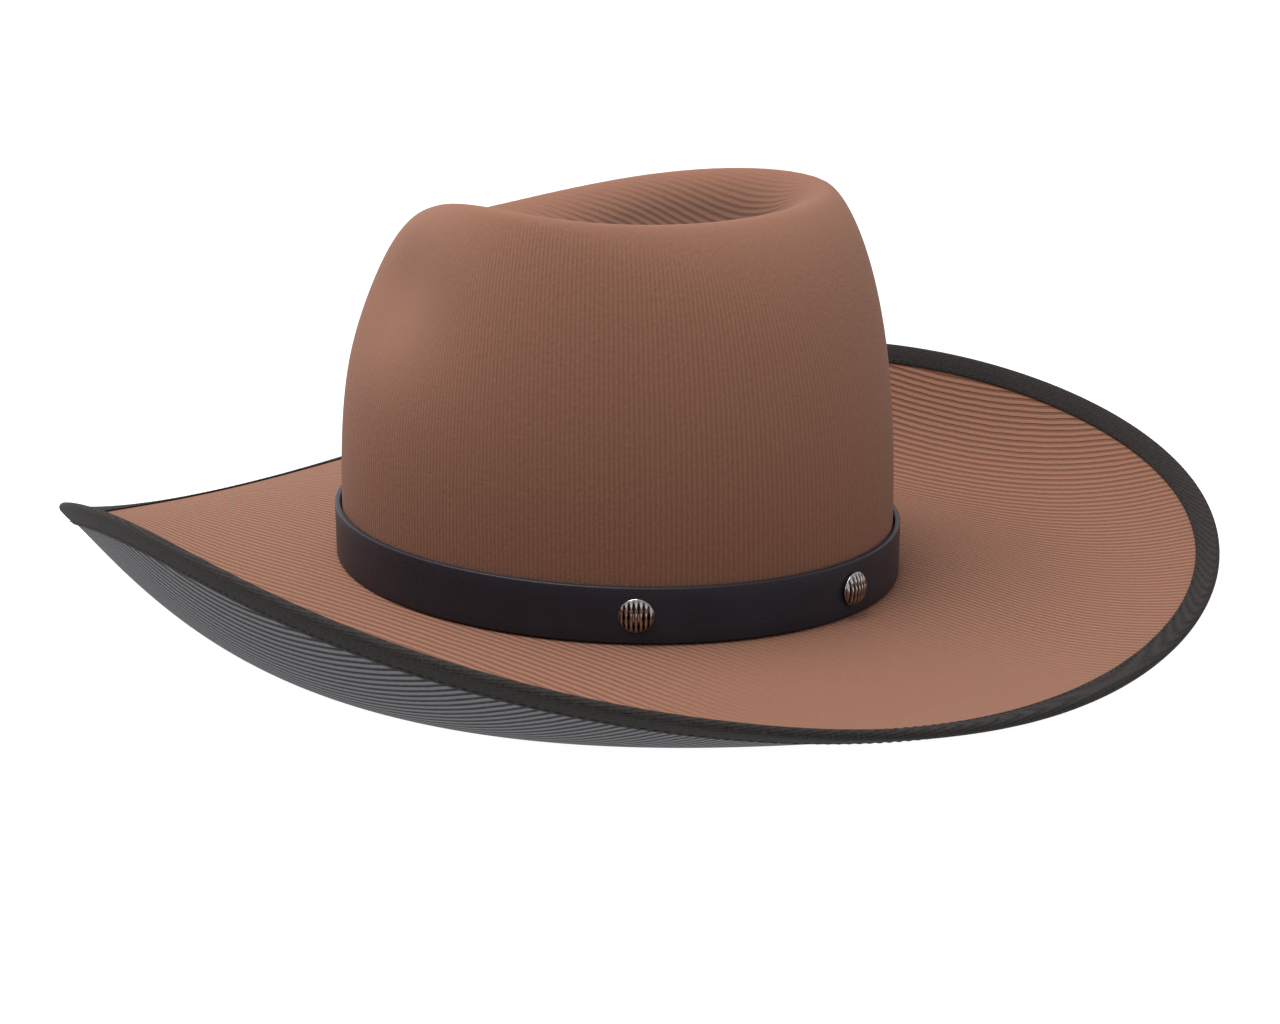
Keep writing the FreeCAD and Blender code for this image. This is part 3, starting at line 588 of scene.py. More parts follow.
def smoothed(net: Net, passes: int, hold_ends: bool = True) -> Net:
    """Evens a closed net out, so that the frame's facets don't show.

    Args:
        net: rows of points that close round the hat.
        passes: how many times each point moves towards its neighbours.
        hold_ends: whether the first and last rows move only along themselves.

    Returns:
        The smoother net.
    """
    rows, around = len(net), len(net[0])
    for _ in range(passes):
        evened = []
        for index, row in enumerate(net):
            edge = index in (0, rows - 1)
            new_row = []
            for column, point in enumerate(row):
                side = (row[column - 1] + row[(column + 1) % around]) * 0.5
                if edge:
                    target = side
                else:
                    target = side * 0.5 + (net[index - 1][column] + net[index + 1][column]) * 0.25
                new_row.append(point.lerp(target, 0.5))
            evened.append(new_row if not (edge and hold_ends) else list(row))
        net = evened
    return net


class Skin:
    """Reads the surface of one frame node with rays, rounded between the node's facets."""

    def __init__(self, node: str) -> None:
        """Builds the search tree.

        Args:
            node: the frame node's name.
        """
        mesh = frame["nodes"][node].data
        self.rounding, self.crease = 0.75, 0.8
        self.points = [vertex.co.copy() for vertex in mesh.vertices]
        self.normals = [vertex.normal.copy() for vertex in mesh.vertices]
        self.faces = [tuple(polygon.vertices) for polygon in mesh.polygons]
        self.tree = BVHTree.FromPolygons(self.points, self.faces)

    def hit(self, start: Vector, towards: Vector) -> Optional[Vector]:
        """The first point that a ray meets.

        Args:
            start: where the ray begins.
            towards: its direction.

        Returns:
            The point on the rounded surface, or None where the ray misses.
        """
        found, flat, index, _ = self.tree.ray_cast(start, towards.normalized())
        if found is None:
            return None
        corners = self.faces[index]
        weights = poly_3d_calc([self.points[i] for i in corners], found)
        rounded = Vector()
        for weight, corner in zip(weights, corners):
            normal = self.normals[corner]
            if abs(normal.dot(flat)) < self.crease:
                normal = flat
            rounded += (found - normal * (found - self.points[corner]).dot(normal)) * weight
        return found.lerp(rounded, self.rounding)

    def level(self, x: float, y: float, from_above: bool) -> Optional[float]:
        """The height of the upper or the lower face at a place in plan.

        Args:
            x: place in plan.
            y: place in plan.
            from_above: whether the upper face is asked for.

        Returns:
            The height, or None outside the node.
        """
        sign = 1.0 if from_above else -1.0
        found = self.hit(Vector((x, y, sign)), Vector((0.0, 0.0, -sign)))
        return None if found is None else found.z

    def edge(self, angle: float, inside: float, outside: float) -> float:
        """The plan radius at which the node ends, in one direction from the origin.

        Args:
            angle: direction round the hat.
            inside: a radius within the node.
            outside: a radius off the node.

        Returns:
            The radius of the last point of the node.
        """
        for _ in range(22):
            middle = (inside + outside) / 2.0
            found = self.level(middle * math.sin(angle), middle * math.cos(angle), True)
            inside, outside = (middle, outside) if found is not None else (inside, middle)
        return inside


def outward(angle: float) -> Vector:
    """The level direction at an angle round the hat."""
    return Vector((math.sin(angle), math.cos(angle), 0.0))


# --------------------------------------------------------------------------- shared making
def show(piece: bpy.types.Object, slot: str, body: Body, wardrobe: Wardrobe, *stands_for: str,
         finish: str = "") -> None:
    """Dresses a piece, ties it to its body and hides the frame nodes it stands for.

    Args:
        piece: the finished mesh object.
        slot: the record's material slot.
        body: the body it rides on.
        wardrobe: the built finishes.
        *stands_for: frame nodes that it replaces.
        finish: the wardrobe's finish, where it isn't the one named for the slot.
    """
    wardrobe.dress(piece, finish or slot)
    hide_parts(*stands_for)
    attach(piece, body.value)
    LOG.info("%s: %d faces, %s", piece.name, len(piece.data.polygons), slot)


def thicken(piece: bpy.types.Object, wall: float) -> None:
    """Gives an open skin its wall, away from the side that its faces look to.

    Args:
        piece: the open skin.
        wall: its thickness.
    """
    modifier = piece.modifiers.new("wall", "SOLIDIFY")
    modifier.thickness = wall
    modifier.offset = -1.0
    modifier.use_even_offset = True


def strip_skin(name: str, net: Net, flip: bool = False,
               marks: Optional[Dict[str, Sequence[float]]] = None) -> bpy.types.Object:
    """A skin from a net that closes round the hat and is open at its first and last rows."""
    return mesh_piece(name, [point for row in net for point in row],
                      ring_faces(len(net), len(net[0]), flip=flip), marks)


def turned_faces(name: str, profile: Sequence[Tuple[float, float]], base: Vector, axis: Vector,
                 sides: int = 48) -> bpy.types.Object:
    """A turned piece.

    Args:
        name: the piece's name.
        profile: radius and height pairs; the first and the last lie on the axis.
        base: where the height is zero.
        axis: the direction in which the height grows.
        sides: points round the axis.

    Returns:
        The object.
    """
    side = axis.cross(Vector((0.0, 0.0, 1.0))).normalized()
    up = side.cross(axis)
    rings = []
    for radius, height in profile:
        rings.append([base + axis * height + (side * math.cos(a) + up * math.sin(a)) * max(radius, 1e-7)
                      for a in (TURN * i / sides for i in range(sides))])
    return strip_skin(name, rings)


def walked(points: Sequence[Vector]) -> List[float]:
    """The distance along a run of points, to each of them."""
    total = [0.0]
    for start, end in zip(points, points[1:]):
        total.append(total[-1] + (end - start).length)
    return total


def spaced(points: Sequence[Vector], count: int) -> List[Vector]:
    """A run of points laid out again at even distances.

    Args:
        points: the run.
        count: how many points are wanted.

    Returns:
        The evenly spaced points, both ends kept.
    """
    lengths = walked(points)
    even, at = [], 0
    for number in range(count):
        wanted = lengths[-1] * number / (count - 1.0)
        while at < len(points) - 2 and lengths[at + 1] < wanted:
            at += 1
        part = (wanted - lengths[at]) / max(lengths[at + 1] - lengths[at], 1e-9)
        even.append(points[at].lerp(points[at + 1], min(part, 1.0)))
    return even


@dataclass
class Stitches:
    """A row of lockstitches: short raised threads, one after another along a path."""

    name: str
    length: float = 2.3 * MM
    gap: float = 0.9 * MM
    radius: float = 0.17 * MM
    sides: int = 6
    stations: Tuple[float, ...] = (-1.0, -0.7, 0.0, 0.7, 1.0)

    def build(self, paths: Sequence[Sequence[Tuple[Vector, Vector]]]) -> bpy.types.Object:
        """Sews along closed paths.

        Args:
            paths: for each path, its points and the surface's normal at each.

        Returns:
            One mesh with every stitch.
        """
        vertices, faces = [], []
        for path in paths:
            points = [point for point, _ in path] + [path[0][0]]
            normals = [normal for _, normal in path] + [path[0][1]]
            lengths = walked(points)
            step = self.length + self.gap
            count = int(lengths[-1] / step)
            at = 0
            for number in range(count):
                middle = (number + 0.5) * lengths[-1] / count
                while lengths[at + 1] < middle:
                    at += 1
                part = (middle - lengths[at]) / max(lengths[at + 1] - lengths[at], 1e-9)
                along = (points[at + 1] - points[at]).normalized()
                self.add(vertices, faces, points[at].lerp(points[at + 1], part), along, normals[at])
        return mesh_piece(self.name, vertices, faces)

    def add(self, vertices: List[Vector], faces: List[Sequence[int]], centre: Vector, along: Vector,
            normal: Vector) -> None:
        """Adds one stitch.

        Args:
            vertices: the mesh's points so far.
            faces: its faces so far.
            centre: the middle of the stitch.
            along: its direction.
            normal: away from the cloth.
        """
        side = along.cross(normal).normalized()
        first = len(vertices)
        for station in self.stations:
            swell = math.sqrt(max(0.06, 1.0 - station * station))
            spine = centre + along * (station * self.length / 2.0) + normal * (self.radius * (swell - 0.6))
            for index in range(self.sides):
                angle = TURN * index / self.sides
                ray = side * math.cos(angle) + normal * math.sin(angle)
                vertices.append(spine + ray * (self.radius * swell))
        faces.extend(ring_faces(len(self.stations), self.sides, first=first))
        last = first + (len(self.stations) - 1) * self.sides
        faces.append(tuple(range(first, first + self.sides)))
        faces.append(tuple(reversed(range(last, last + self.sides))))


# --------------------------------------------------------------------------- sub-assemblies
@dataclass
class Crown:
    """The creased crown: its ribbed cloth and the satin lining inside."""

    columns: int = 320
    rows: int = 145
    looks: int = 4                     # rays for each row, before the rows are spaced evenly
    cloth_wall: float = 1.0 * MM
    lining_wall: float = 0.25 * MM
    heart: Vector = field(default_factory=lambda: Vector((0.0, -5.0 * MM, 20.0 * MM)))
    reach: float = 300.0 * MM
    evening: int = 3
    crease_floor: float = 12.0 * MM    # how far under the crest the crease mark is full, for laid ribs and painted shade
    gathers: int = 46
    gather_depth: float = 0.55 * MM

    def net(self, node: str, inside: bool, rows: int, columns: int) -> Net:
        """Reads a node's face in rays through the crown's heart.

        Args:
            node: the frame node.
            inside: whether its inner face is wanted.
            rows: rows from the foot to the top.
            columns: points round the hat.

        Returns:
            The face's points, row by row from its foot.
        """
        skin = Skin(node)
        low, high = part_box(node)
        sheet = []
        for column in range(columns):
            flat = outward(TURN * column / columns)
            foot = self.edge(skin, flat, low.z, -1.0)
            top = self.edge(skin, flat, high.z, 1.0)
            run = []
            for look in range(rows * self.looks):
                tilt = foot + (top - foot) * look / (rows * self.looks - 1)
                ray = flat * math.cos(tilt) + Vector((0.0, 0.0, math.sin(tilt)))
                start, towards = (self.heart, ray) if inside else (self.heart + ray * self.reach, -ray)
                found = skin.hit(start, towards)
                run.append(found if found is not None else run[-1].copy())
            sheet.append(spaced(run, rows))
        return [[sheet[column][row] for column in range(columns)] for row in range(rows)]

    def edge(self, skin: Skin, flat: Vector, level: float, sign: float) -> float:
        """The tilt of the last ray that meets a node, downwards or upwards.

        Args:
            skin: the node.
            flat: the level direction.
            level: the height of the node's end, above the heart or below it; not used.
            sign: 1 upwards, -1 downwards.

        Returns:
            The tilt in radians.
        """
        straight = math.pi / 2.0 * sign
        start = self.heart + Vector((0.0, 0.0, sign)) * 1.0e-4
        if skin.hit(start, Vector((0.0, 1.0e-4, sign))) is not None:
            return straight
        held, missed = self.middle_tilt(skin, flat), straight
        for _ in range(18):
            tilt = (held + missed) / 2.0
            ray = flat * math.cos(tilt) + Vector((0.0, 0.0, math.sin(tilt)))
            found = skin.hit(self.heart, ray)
            held, missed = (tilt, missed) if found is not None else (held, tilt)
        return held

    def middle_tilt(self, skin: Skin, flat: Vector) -> float:
        """A tilt at which a level direction's ray surely meets the node."""
        for step in range(90):
            for tilt in (math.radians(step), math.radians(-step)):
                ray = flat * math.cos(tilt) + Vector((0.0, 0.0, math.sin(tilt)))
                if skin.hit(self.heart, ray) is not None:
                    return tilt
        return 0.0

    def build(self, wardrobe: Wardrobe) -> None:
        """Builds and dresses the cloth and the lining.

        Args:
            wardrobe: the built finishes.
        """
        net = smoothed(self.net("crown_cloth", False, self.rows, self.columns), self.evening)
        cloth = strip_skin("crown_shell", net, flip=True, marks={
            CREASE_DEPTH: self.pressed(net), LAID: [point.x for row in net for point in row]})
        thicken(cloth, self.cloth_wall)
        show(cloth, "brown_ribbed_cloth", Body.HAT, wardrobe, "crown_cloth", finish="brown_crown_cloth")
        for node, rows, depth in (("lining_side", 40, self.gather_depth), ("lining_tip", 50, 0.0)):
            net = smoothed(self.net(node, True, rows, self.columns), 2)
            net = [[self.gathered(point, column, row / (rows - 1.0), depth)
                    for column, point in enumerate(line)] for row, line in enumerate(net)]
            lining = strip_skin(node + "_satin", net)
            thicken(lining, self.lining_wall)
            show(lining, "lining_satin", Body.HAT, wardrobe, node)

    def pressed(self, net: Net) -> List[float]:
        """How deep in the crease each point of the cloth lies.

        Args:
            net: the cloth's points.

        Returns:
            One number a point, 0 up to the crest and 1 well below it.
        """
        marks = [[0.0] * len(net[0]) for _ in net]
        for column in range(len(net[0])):
            heights = [row[column].z for row in net]
            crest = heights.index(max(heights))
            for row in range(crest, len(net)):
                marks[row][column] = min(1.0, (heights[crest] - heights[row]) / self.crease_floor)
        return [mark for row in marks for mark in row]

    def gathered(self, point: Vector, column: int, share: float, depth: float) -> Vector:
        """Pulls a lining point inwards where a gather of the satin stands.

        Args:
            point: the point on the smooth lining.
            column: its number round the hat.
            share: 0 at the lining's foot, 1 at its top.
            depth: the deepest gather.

        Returns:
            The moved point.
        """
        angle = TURN * column / self.columns
        wave = math.sin(self.gathers * angle + 2.0 * math.sin(3.0 * angle) + 1.5 * share)
        pull = depth * (0.5 + 0.5 * wave) * share
        return point.lerp(self.heart, pull / max((point - self.heart).length, MM))


@dataclass
class Brim:
    """The brim's two cloths and the folded binding sewn over their edge."""

    columns: int = 400
    rows: int = 110
    cloth_wall: float = 0.6 * MM
    edge_crowding: float = 1.5
    edge_margin: float = 0.05 * MM
    tape_wall: float = 0.5 * MM
    fold_centre: float = 1.3 * MM
    leg_rows: int = 9
    nose_rows: int = 9
    leg_search: Tuple[float, float] = (2.5 * MM, 9.0 * MM)
    probe: float = 3.0 * MM
    sunk: float = 0.5 * MM             # a skin further below the cloth's face is the other leg
    stitch_inset: float = 1.2 * MM
    evening: int = 4

    def net(self, node: str, from_above: bool) -> Net:
        """Reads one face of a brim cloth with upright rays.

        Args:
            node: the frame node.
            from_above: whether its upper face is wanted.

        Returns:
            Its points, row by row from the crown outwards.
        """
        skin = Skin(node)
        low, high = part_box(node)
        far, sheet = high.length + low.length, []
        for column in range(self.columns):
            angle = TURN * column / self.columns
            flat = outward(angle)
            middle = 0.75 * min(high.x, high.y)
            inner = skin.edge(angle, middle, 0.0) + self.edge_margin
            outer = skin.edge(angle, middle, far) - self.edge_margin
            run = []
            for row in range(self.rows):
                share = 1.0 - (1.0 - row / (self.rows - 1.0)) ** self.edge_crowding
                radius = inner + (outer - inner) * share
                level = skin.level(radius * flat.x, radius * flat.y, from_above)
                height = level if level is not None else run[-1].z
                run.append(Vector((radius * flat.x, radius * flat.y, height)))
            sheet.append(run)
        return [[sheet[column][row] for column in range(self.columns)] for row in range(self.rows)]

    def laid(self, net: Net) -> List[float]:
        """How far from the hat's centre line each point lay while the cloth was still flat.

        Args:
            net: the cloth's points.

        Returns:
            One distance a point, to the wearer's left.
        """
        marks = [[0.0] * self.columns for _ in net]
        for column in range(self.columns):
            run = [row[column] for row in net]
            inner = math.hypot(run[0].x, run[0].y)
            for row, length in enumerate(walked(run)):
                marks[row][column] = (inner + length) * math.sin(TURN * column / self.columns)
        return [mark for row in marks for mark in row]

    def leg(self, skin: Skin, run: Sequence[Vector], side: Vector) -> Tuple[List[Vector], Vector, Vector]:
        """Reads one leg of the binding in one section.

        Args:
            skin: the binding.
            run: the cloth's points in this section, from the crown to the rim.
            side: roughly away from the brim on this leg's side.

        Returns:
            The leg's points from its edge to the rim, with the stitch line's point and normal.
        """
        back = list(reversed(run))
        lengths = walked(back)

        def at(inset: float) -> Tuple[Optional[Vector], Vector]:
            """The binding's skin at an inset from the rim, and the normal there."""
            step = next(index for index, length in enumerate(lengths) if length >= inset)
            step = max(step, 2)
            part = (inset - lengths[step - 1]) / (lengths[step] - lengths[step - 1])
            point = back[step - 1].lerp(back[step], part)
            along = back[step - 2] - back[step]
            around = Vector((0.0, 0.0, 1.0)).cross(along)
            normal = along.cross(around).normalized()
            normal = normal if normal.dot(side) > 0.0 else -normal
            found = skin.hit(point + normal * self.probe, -normal)
            if found is not None and (found - point).dot(normal) < -self.sunk:
                found = None
            return found, normal

        held, missed = self.leg_search
        for _ in range(12):
            middle = (held + missed) / 2.0
            held, missed = (middle, missed) if at(middle)[0] is not None else (held, middle)
        points = []
        for row in range(self.leg_rows):
            found, _ = at(held * (0.995 - 0.97 * row / (self.leg_rows - 1.0)))
            points.append(found if found is not None else points[-1].copy())
        sewn, normal = at(held - self.stitch_inset)
        return points, sewn if sewn is not None else points[1], normal

    def binding(self, top: Net, under: Net) -> Tuple[Net, List[List[Tuple[Vector, Vector]]]]:
        """Reads the binding's outer face, section by section.

        Args:
            top: the top cloth's net.
            under: the under cloth's net.

        Returns:
            The binding's net from its upper edge over the rim to its lower edge, and the stitch paths.
        """
        skin = Skin("edge_binding")
        sections, above, below = [], [], []
        for column in range(self.columns):
            upper = [row[column] for row in top]
            lower = [row[column] for row in under]
            across = (upper[-1] - lower[-1]).normalized()
            out = (upper[-1] - upper[-6]).normalized()
            across = (across - out * across.dot(out)).normalized()
            centre = (upper[-1] + lower[-1]) / 2.0 + out * self.fold_centre
            upper_leg, sewn_above, normal_above = self.leg(skin, upper, across)
            lower_leg, sewn_below, normal_below = self.leg(skin, lower, -across)
            nose = []
            for row in range(self.nose_rows):
                turn = math.pi * (0.5 - (row + 0.5) / self.nose_rows)
                ray = out * math.cos(turn) + across * math.sin(turn)
                found = skin.hit(centre + ray * 3.0 * self.probe, -ray)
                nose.append(found if found is not None else centre + ray * self.fold_centre)
            sections.append(upper_leg + nose + list(reversed(lower_leg)))
            above.append((sewn_above, normal_above))
            below.append((sewn_below, normal_below))
        rows = len(sections[0])
        return [[section[row] for section in sections] for row in range(rows)], [above, below]

    def build(self, wardrobe: Wardrobe) -> None:
        """Builds and dresses the cloths, the binding and its stitches.

        Args:
            wardrobe: the built finishes.
        """
        top = smoothed(self.net("brim_top_cloth", True), self.evening)
        under = smoothed(self.net("brim_under_cloth", False), self.evening)
        upper = strip_skin("brim_face", top, marks={LAID: self.laid(top)})
        thicken(upper, self.cloth_wall)
        show(upper, "brown_ribbed_cloth", Body.HAT, wardrobe, "brim_top_cloth")
        lower = strip_skin("brim_underside", under, flip=True, marks={LAID: self.laid(under)})
        thicken(lower, self.cloth_wall)
        show(lower, "black_ribbed_cloth", Body.HAT, wardrobe, "brim_under_cloth")
        net, paths = self.binding(top, under)
        tape = strip_skin("rim_binding", smoothed(net, 2, hold_ends=False))
        thicken(tape, self.tape_wall)
        show(tape, "black_binding_tape", Body.HAT, wardrobe, "edge_binding")
        show(Stitches("binding_stitches").build(paths), "black_binding_tape", Body.HAT, wardrobe)


@dataclass
class Inside:
    """The leather sweatband, rolled over its reed, and the ribbon bow at its rear seam."""

    columns: int = 300
    wall: float = 1.1 * MM
    rows: int = 22
    foot_radius: float = 0.9 * MM
    foot_rows: int = 6
    wave: float = 0.35 * MM
    ribbon_wall: float = 0.35 * MM
    loop_points: int = 24
    loop_waist: float = 0.34         # a loop's height beside the knot, as a share of its outer end
    loop_flare: float = 0.8          # how fast it widens outwards, as a power
    knot_height: float = 0.42        # the knot's height, as a share of the loops' outer ends

    def sweatband(self) -> bpy.types.Object:
        """Makes the leather strip.

        Returns:
            The strip, its face inwards.
        """
        skin = Skin("sweatband")
        low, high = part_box("sweatband")
        net = []
        for row in range(self.foot_rows):
            turn = math.pi * 0.8 * (1.0 - row / float(self.foot_rows))
            net.append(self.ring(skin, low.z + 0.2 * MM, self.foot_radius * (1.0 - math.cos(turn)),
                                 -self.foot_radius * math.sin(turn), 0.0))
        for row in range(self.rows):
            share = row / (self.rows - 1.0)
            level = low.z + 0.2 * MM + (high.z - low.z - 0.4 * MM) * share
            net.append(self.ring(skin, level, 0.0, 0.0, self.wave * share ** 2))
        return strip_skin("sweatband_leather", net)

    def ring(self, skin: Skin, level: float, grow: float, drop: float, wave: float) -> List[Vector]:
        """One ring of the strip.

        Args:
            skin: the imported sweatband.
            level: the height at which its inner face is read.
            grow: how far the ring stands outside that face.
            drop: how far the ring lies from that level.
            wave: how far the leather's edge sways.

        Returns:
            The ring's points.
        """
        ring = []
        for column in range(self.columns):
            angle = TURN * column / self.columns
            flat = outward(angle)
            found = skin.hit(Vector((0.0, 0.0, level)), flat)
            sway = wave * math.sin(7.0 * angle + 1.0) * math.sin(3.0 * angle)
            ring.append(found + flat * (grow - abs(sway)) + Vector((0.0, 0.0, drop + sway)))
        return ring

    def bow(self) -> bpy.types.Object:
        """Makes the ribbon bow: two flat loops and a knot.

        Returns:
            The bow.
        """
        low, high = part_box("sweatband_bow")
        centre, half = (low + high) / 2.0, (high - low) / 2.0
        vertices, faces = [], []
        knot = half.x / 6.0
        rings = [(side * (half.x + knot) / 2.0, (half.x - knot) / 2.0, 0.55 * MM)
                 for side in (-1.0, 1.0)]
        rings.append((0.0, 1.4 * knot, 0.95 * MM))
        levels = (-1.0, -0.5, 0.0, 0.5, 1.0)
        for middle, reach, depth in rings:
            first = len(vertices)
            for level in levels:
                for index in range(self.loop_points):
                    angle = TURN * index / self.loop_points
                    x = middle + reach * math.cos(angle)
                    flare = min(1.0, abs(x) / half.x) ** self.loop_flare
                    tall = self.knot_height
                    if middle:
                        tall = self.loop_waist + (1.0 - self.loop_waist) * flare
                    vertices.append(centre + Vector((x, depth * math.sin(angle),
                                                     level * half.z * tall)))
            faces.extend(ring_faces(len(levels), self.loop_points, first=first))
        return mesh_piece("bow_ribbon_tied", vertices, faces)

    def build(self, wardrobe: Wardrobe) -> None:
        """Builds and dresses the sweatband and its bow.

        Args:
            wardrobe: the built finishes.
        """
        strip = self.sweatband()
        thicken(strip, self.wall)
        show(strip, "sweatband_leather", Body.HAT, wardrobe, "sweatband")
        bow = self.bow()
        thicken(bow, self.ribbon_wall)
        show(bow, "bow_ribbon", Body.HAT, wardrobe, "sweatband_bow")


@dataclass
class Band:
    """The leather band round the crown with its lap, rivets and domed studs."""

    columns: int = 900
    corner: float = 0.55 * MM
    corner_steps: int = 4
    edge_rows: int = 4
    read_share: float = 0.93         # share of the height at which the strap has no holes
    studs: Tuple[str, ...] = ("left", "rear", "right")
    rivets: Tuple[str, ...] = ("front", "back")
    dome_power: float = 0.62
    flute_pitch: float = 1.55 * MM
    flute_depth: float = 0.38 * MM
    hammer_pitch: float = 2.1        # spacing of the hammered rows across the flutes, in flutes
    hammer_depth: float = 0.3        # how much shallower the flutes are between those rows
    stud_rings: int = 34
    stud_sides: int = 96

    def strap(self) -> bpy.types.Object:
        """Makes the strap with worn, rounded edges.

        Returns:
            The strap.
        """
        skin = Skin("band_strap")
        low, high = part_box("band_strap")
        level = low.z + (high.z - low.z) * self.read_share
        faces_at = []
        for column in range(self.columns):
            flat = outward(TURN * column / self.columns)
            centre = Vector((0.0, 0.0, level))
            inner = skin.hit(centre, flat)
            outer = skin.hit(centre + flat, -flat)
            faces_at.append((flat, (inner - centre).length, (outer - centre).length))
        rings = []
        for outside, z in self.profile(high.z - low.z):
            rings.append([flat * (inner + self.corner + outside * self.corner if outside < 0.0 else
                                  outer - self.corner + outside * self.corner) +
                          Vector((0.0, 0.0, low.z + z)) for flat, inner, outer in faces_at])
        return closed_skin("strap_leather", rings)

    def profile(self, height: float) -> List[Tuple[float, float]]:
        """The strap's rounded section.

        Args:
            height: the strap's height.

        Returns:
            Pairs of place across (-1 inner face to 1 outer face) and height, once round.
        """
        pairs = []
        for quadrant, (sign, z) in enumerate(((1, 0.0), (1, height), (-1, height), (-1, 0.0))):
            for step in range(self.corner_steps + 1):
                turn = math.pi / 2.0 * (quadrant - 1 + step / float(self.corner_steps))
                up = math.sin(turn) * self.corner
                pairs.append((math.cos(turn) if abs(math.cos(turn)) > 1e-6 else 1e-6 * sign,
                              (z + self.corner if z == 0.0 else z - self.corner) + up))
            if quadrant in (0, 2):
                for row in range(1, self.edge_rows):
                    share = row / float(self.edge_rows)
                    share = share if quadrant == 0 else 1.0 - share
                    pairs.append((float(sign), self.corner + (height - 2.0 * self.corner) * share))
        return pairs

    def outward_at(self, place: Vector) -> Vector:
        """The direction square to the band's oval at a place on it."""
        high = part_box("band_strap")[1]
        return Vector((place.x / high.x ** 2, place.y / high.y ** 2, 0.0)).normalized()

    def axis_of(self, node: str) -> Tuple[Vector, Vector]:
        """The middle of a fastener and the direction in which it points out of the band."""
        low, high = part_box(node)
        middle = (low + high) / 2.0
        return middle, self.outward_at(middle)

    def stud(self, side: str) -> bpy.types.Object:
        """Makes one cast cap: a dome with upright flutes.

        Args:
            side: which of the studs.

        Returns:
            The cap.
        """
        middle, axis = self.axis_of("stud_cap_" + side)
        low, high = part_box("stud_cap_" + side)
        radius = (high.z - low.z) / 2.0
        tall = radius * 0.5
        base = middle - axis * (tall / 2.0)
        across = Vector((0.0, 0.0, 1.0)).cross(axis)
        rim = 0.3 * tall
        rings: Net = [[base + axis * 1e-6] * self.stud_sides]
        recess = [0.0] * (4 * self.stud_sides)
        for row in range(3):
            reach = radius if row else 0.96 * radius
            rings.append(self.circle(base + axis * (rim * row / 2.0), across, reach))
        for row in range(1, self.stud_rings + 1):
            share = 1.0 - row / float(self.stud_rings)
            ring = []
            for index in range(self.stud_sides):
                angle = TURN * index / self.stud_sides
                x, z = radius * share * math.cos(angle), radius * share * math.sin(angle)
                dome = (1.0 - share ** 2) ** self.dome_power
                rows = math.cos(TURN * z / (self.hammer_pitch * self.flute_pitch))
                fade = min(1.0, 5.0 * (1.0 - share)) * (1.0 + self.hammer_depth * (rows - 1.0))
                flute = self.flute_depth * fade * math.cos(TURN * x / self.flute_pitch)
                # painted shade: how much of the flutes' dark colour a point takes
                recess.append(min(1.0, max(0.0, 0.35 - flute / self.flute_depth) * 1.4))
                ring.append(base + across * x + Vector((0.0, 0.0, z)) +
                            axis * (rim + (tall - rim) * dome * 0.93 + flute - self.flute_depth * 0.6))
            rings.append(ring)
        return strip_skin("concho_" + side, rings, marks={RECESS: recess})

    def circle(self, centre: Vector, across: Vector, radius: float) -> List[Vector]:
        """A ring of points round a stud's axis."""
        return [centre + across * (radius * math.cos(a)) + Vector((0.0, 0.0, radius * math.sin(a)))
                for a in (TURN * i / self.stud_sides for i in range(self.stud_sides))]

    def rivet(self, side: str) -> bpy.types.Object:
        """Makes one tubular rivet with a domed head at each end.

        Args:
            side: which of the rivets.

        Returns:
            The rivet.
        """
        node = "band_rivet_" + side
        middle, axis = self.axis_of(node)
        low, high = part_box(node)
        radius = (high.z - low.z) / 2.0
        length = max(abs(axis.dot(v)) for v in self.spread(node)) * 2.0
        base, head, shank = middle - axis * (length / 2.0), 0.15 * length, 0.4 * radius
        profile = [(0.0, 0.0), (radius * 0.8, 0.0), (radius, head * 0.4), (radius * 0.97, head),
                   (shank, head), (shank, length - head)]
        for step in range(9):
            turn = math.pi / 2.0 * step / 8.0
            profile.append((radius * math.cos(turn), length - head + head * math.sin(turn)))
        return turned_faces("lap_rivet_" + side, profile, base, axis)

    def spread(self, node: str) -> List[Vector]:
        """Each point of a node, from the middle of its box."""
        low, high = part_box(node)
        middle = (low + high) / 2.0
        return [vertex.co - middle for vertex in frame["nodes"][node].data.vertices]

    def build(self, wardrobe: Wardrobe) -> None:
        """Builds and dresses the strap, the studs and the rivets.

        Args:
            wardrobe: the built finishes.
        """
        show(self.strap(), "band_leather", Body.BAND, wardrobe, "band_strap")
        for side in self.studs:
            show(self.stud(side), "dark_chrome", Body.BAND, wardrobe, "stud_cap_" + side)
        for side in self.rivets:
            show(self.rivet(side), "dark_chrome", Body.BAND, wardrobe, "band_rivet_" + side)


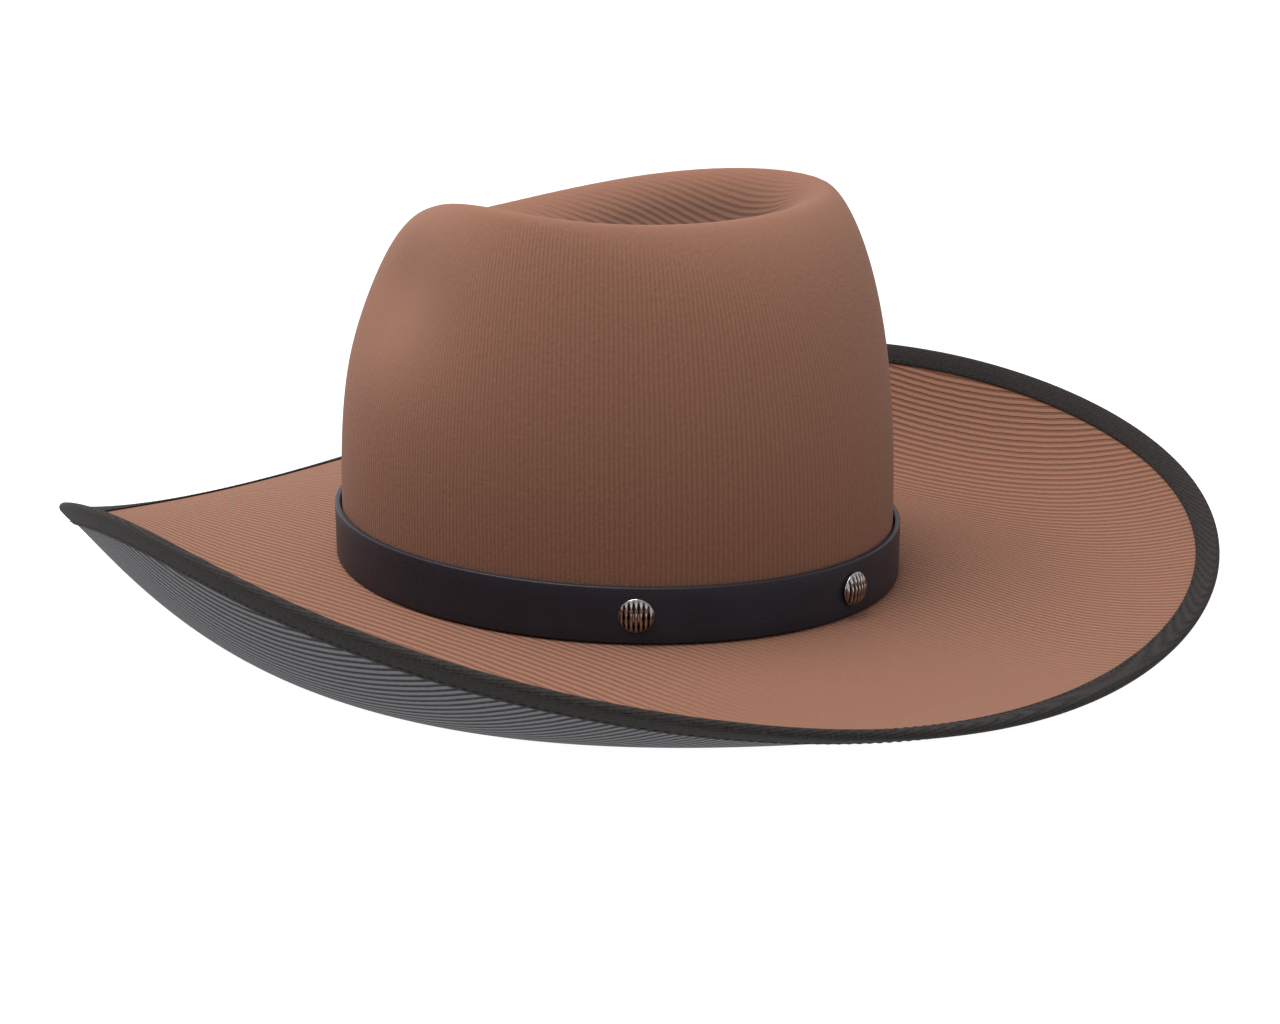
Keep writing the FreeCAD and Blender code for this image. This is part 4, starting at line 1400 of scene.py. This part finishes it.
# --------------------------------------------------------------------------- the studio
@dataclass
class Studio:
    """A pale floor, a white surround and a soft light from above."""

    floor_colour: str = "#FFFFFF"
    floor_body: str = "#757575"
    floor_glow: float = 0.97
    floor_side: float = 12.0
    surround: float = 1.0
    top_power: float = 27.0
    top_side: float = 0.9
    top_place: Vector = field(default_factory=lambda: Vector((0.3, -0.25, 1.25)))
    azimuth: float = 132.0
    elevation: float = 16.5
    distance: float = 0.75
    aside: float = 9.47 * MM
    above: float = 13.35 * MM
    lens: float = 59.6

    def floor(self) -> None:
        """Lays the floor under the hat's lowest point."""
        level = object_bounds()[0][2]
        half = self.floor_side / 2.0
        corners = [Vector((x * half, y * half, level))
                   for x, y in ((-1, -1), (1, -1), (1, 1), (-1, 1))]
        floor = mesh_piece("studio_floor", corners, [(0, 1, 2, 3)])
        material, tree, shader = new_material("pale studio floor, matt")
        feed(tree, shader, values={
            "Base Color": linear(self.floor_body), "Roughness": 1.0, "Specular IOR Level": 0.0,
            "Emission Color": linear(self.floor_colour), "Emission Strength": self.floor_glow})
        floor.data.materials.append(material)
        floor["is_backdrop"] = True

    def lights(self) -> None:
        """Hangs the soft light and lights the surround."""
        scene = bpy.context.scene
        world = bpy.data.worlds.new("white surround")
        scene.world = world
        world.use_nodes = True
        background = world.node_tree.nodes["Background"]
        background.inputs["Color"].default_value = (1.0, 1.0, 1.0, 1.0)
        background.inputs["Strength"].default_value = self.surround
        lamp = bpy.data.lights.new("soft box above", "AREA")
        lamp.shape = "SQUARE"
        lamp.size = self.top_side
        lamp.energy = self.top_power
        holder = bpy.data.objects.new("soft box above", lamp)
        holder.location = self.top_place
        holder.rotation_euler = self.top_place.to_track_quat("Z", "Y").to_euler()
        scene.collection.objects.link(holder)
        holder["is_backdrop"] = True
        scene.view_settings.view_transform = "Standard"
        scene.view_settings.look = "None"

    def camera(self) -> None:
        """Sets the camera at the wearer's left and behind, a little above the brim."""
        turn, tilt = math.radians(self.azimuth), math.radians(self.elevation)
        back = Vector((math.sin(turn) * math.cos(tilt), -math.cos(turn) * math.cos(tilt),
                       math.sin(tilt)))
        right = Vector((math.cos(turn), math.sin(turn), 0.0))
        up = back.cross(right)
        data = bpy.data.cameras.new("studio camera")
        data.lens = self.lens
        data.sensor_width = 36.0
        camera = bpy.data.objects.new("studio camera", data)
        place = back * self.distance + right * self.aside + up * self.above
        turned = Matrix((right, up, back)).transposed().to_4x4()
        camera.matrix_world = Matrix.Translation(place) @ turned
        bpy.context.scene.collection.objects.link(camera)
        bpy.context.scene.camera = camera

    def build(self) -> None:
        """Sets up the floor, the lights and the camera."""
        self.floor()
        self.lights()
        self.camera()


def main() -> None:
    """Builds the hat piece by piece, then the studio."""
    logging.basicConfig(level=logging.INFO, format="%(name)s: %(message)s")
    wardrobe = Wardrobe()
    wardrobe.dress_frame()
    for assembly in (Crown(), Brim(), Inside(), Band()):
        assembly.build(wardrobe)
    Studio().build()


if __name__ == "__main__":
    main()
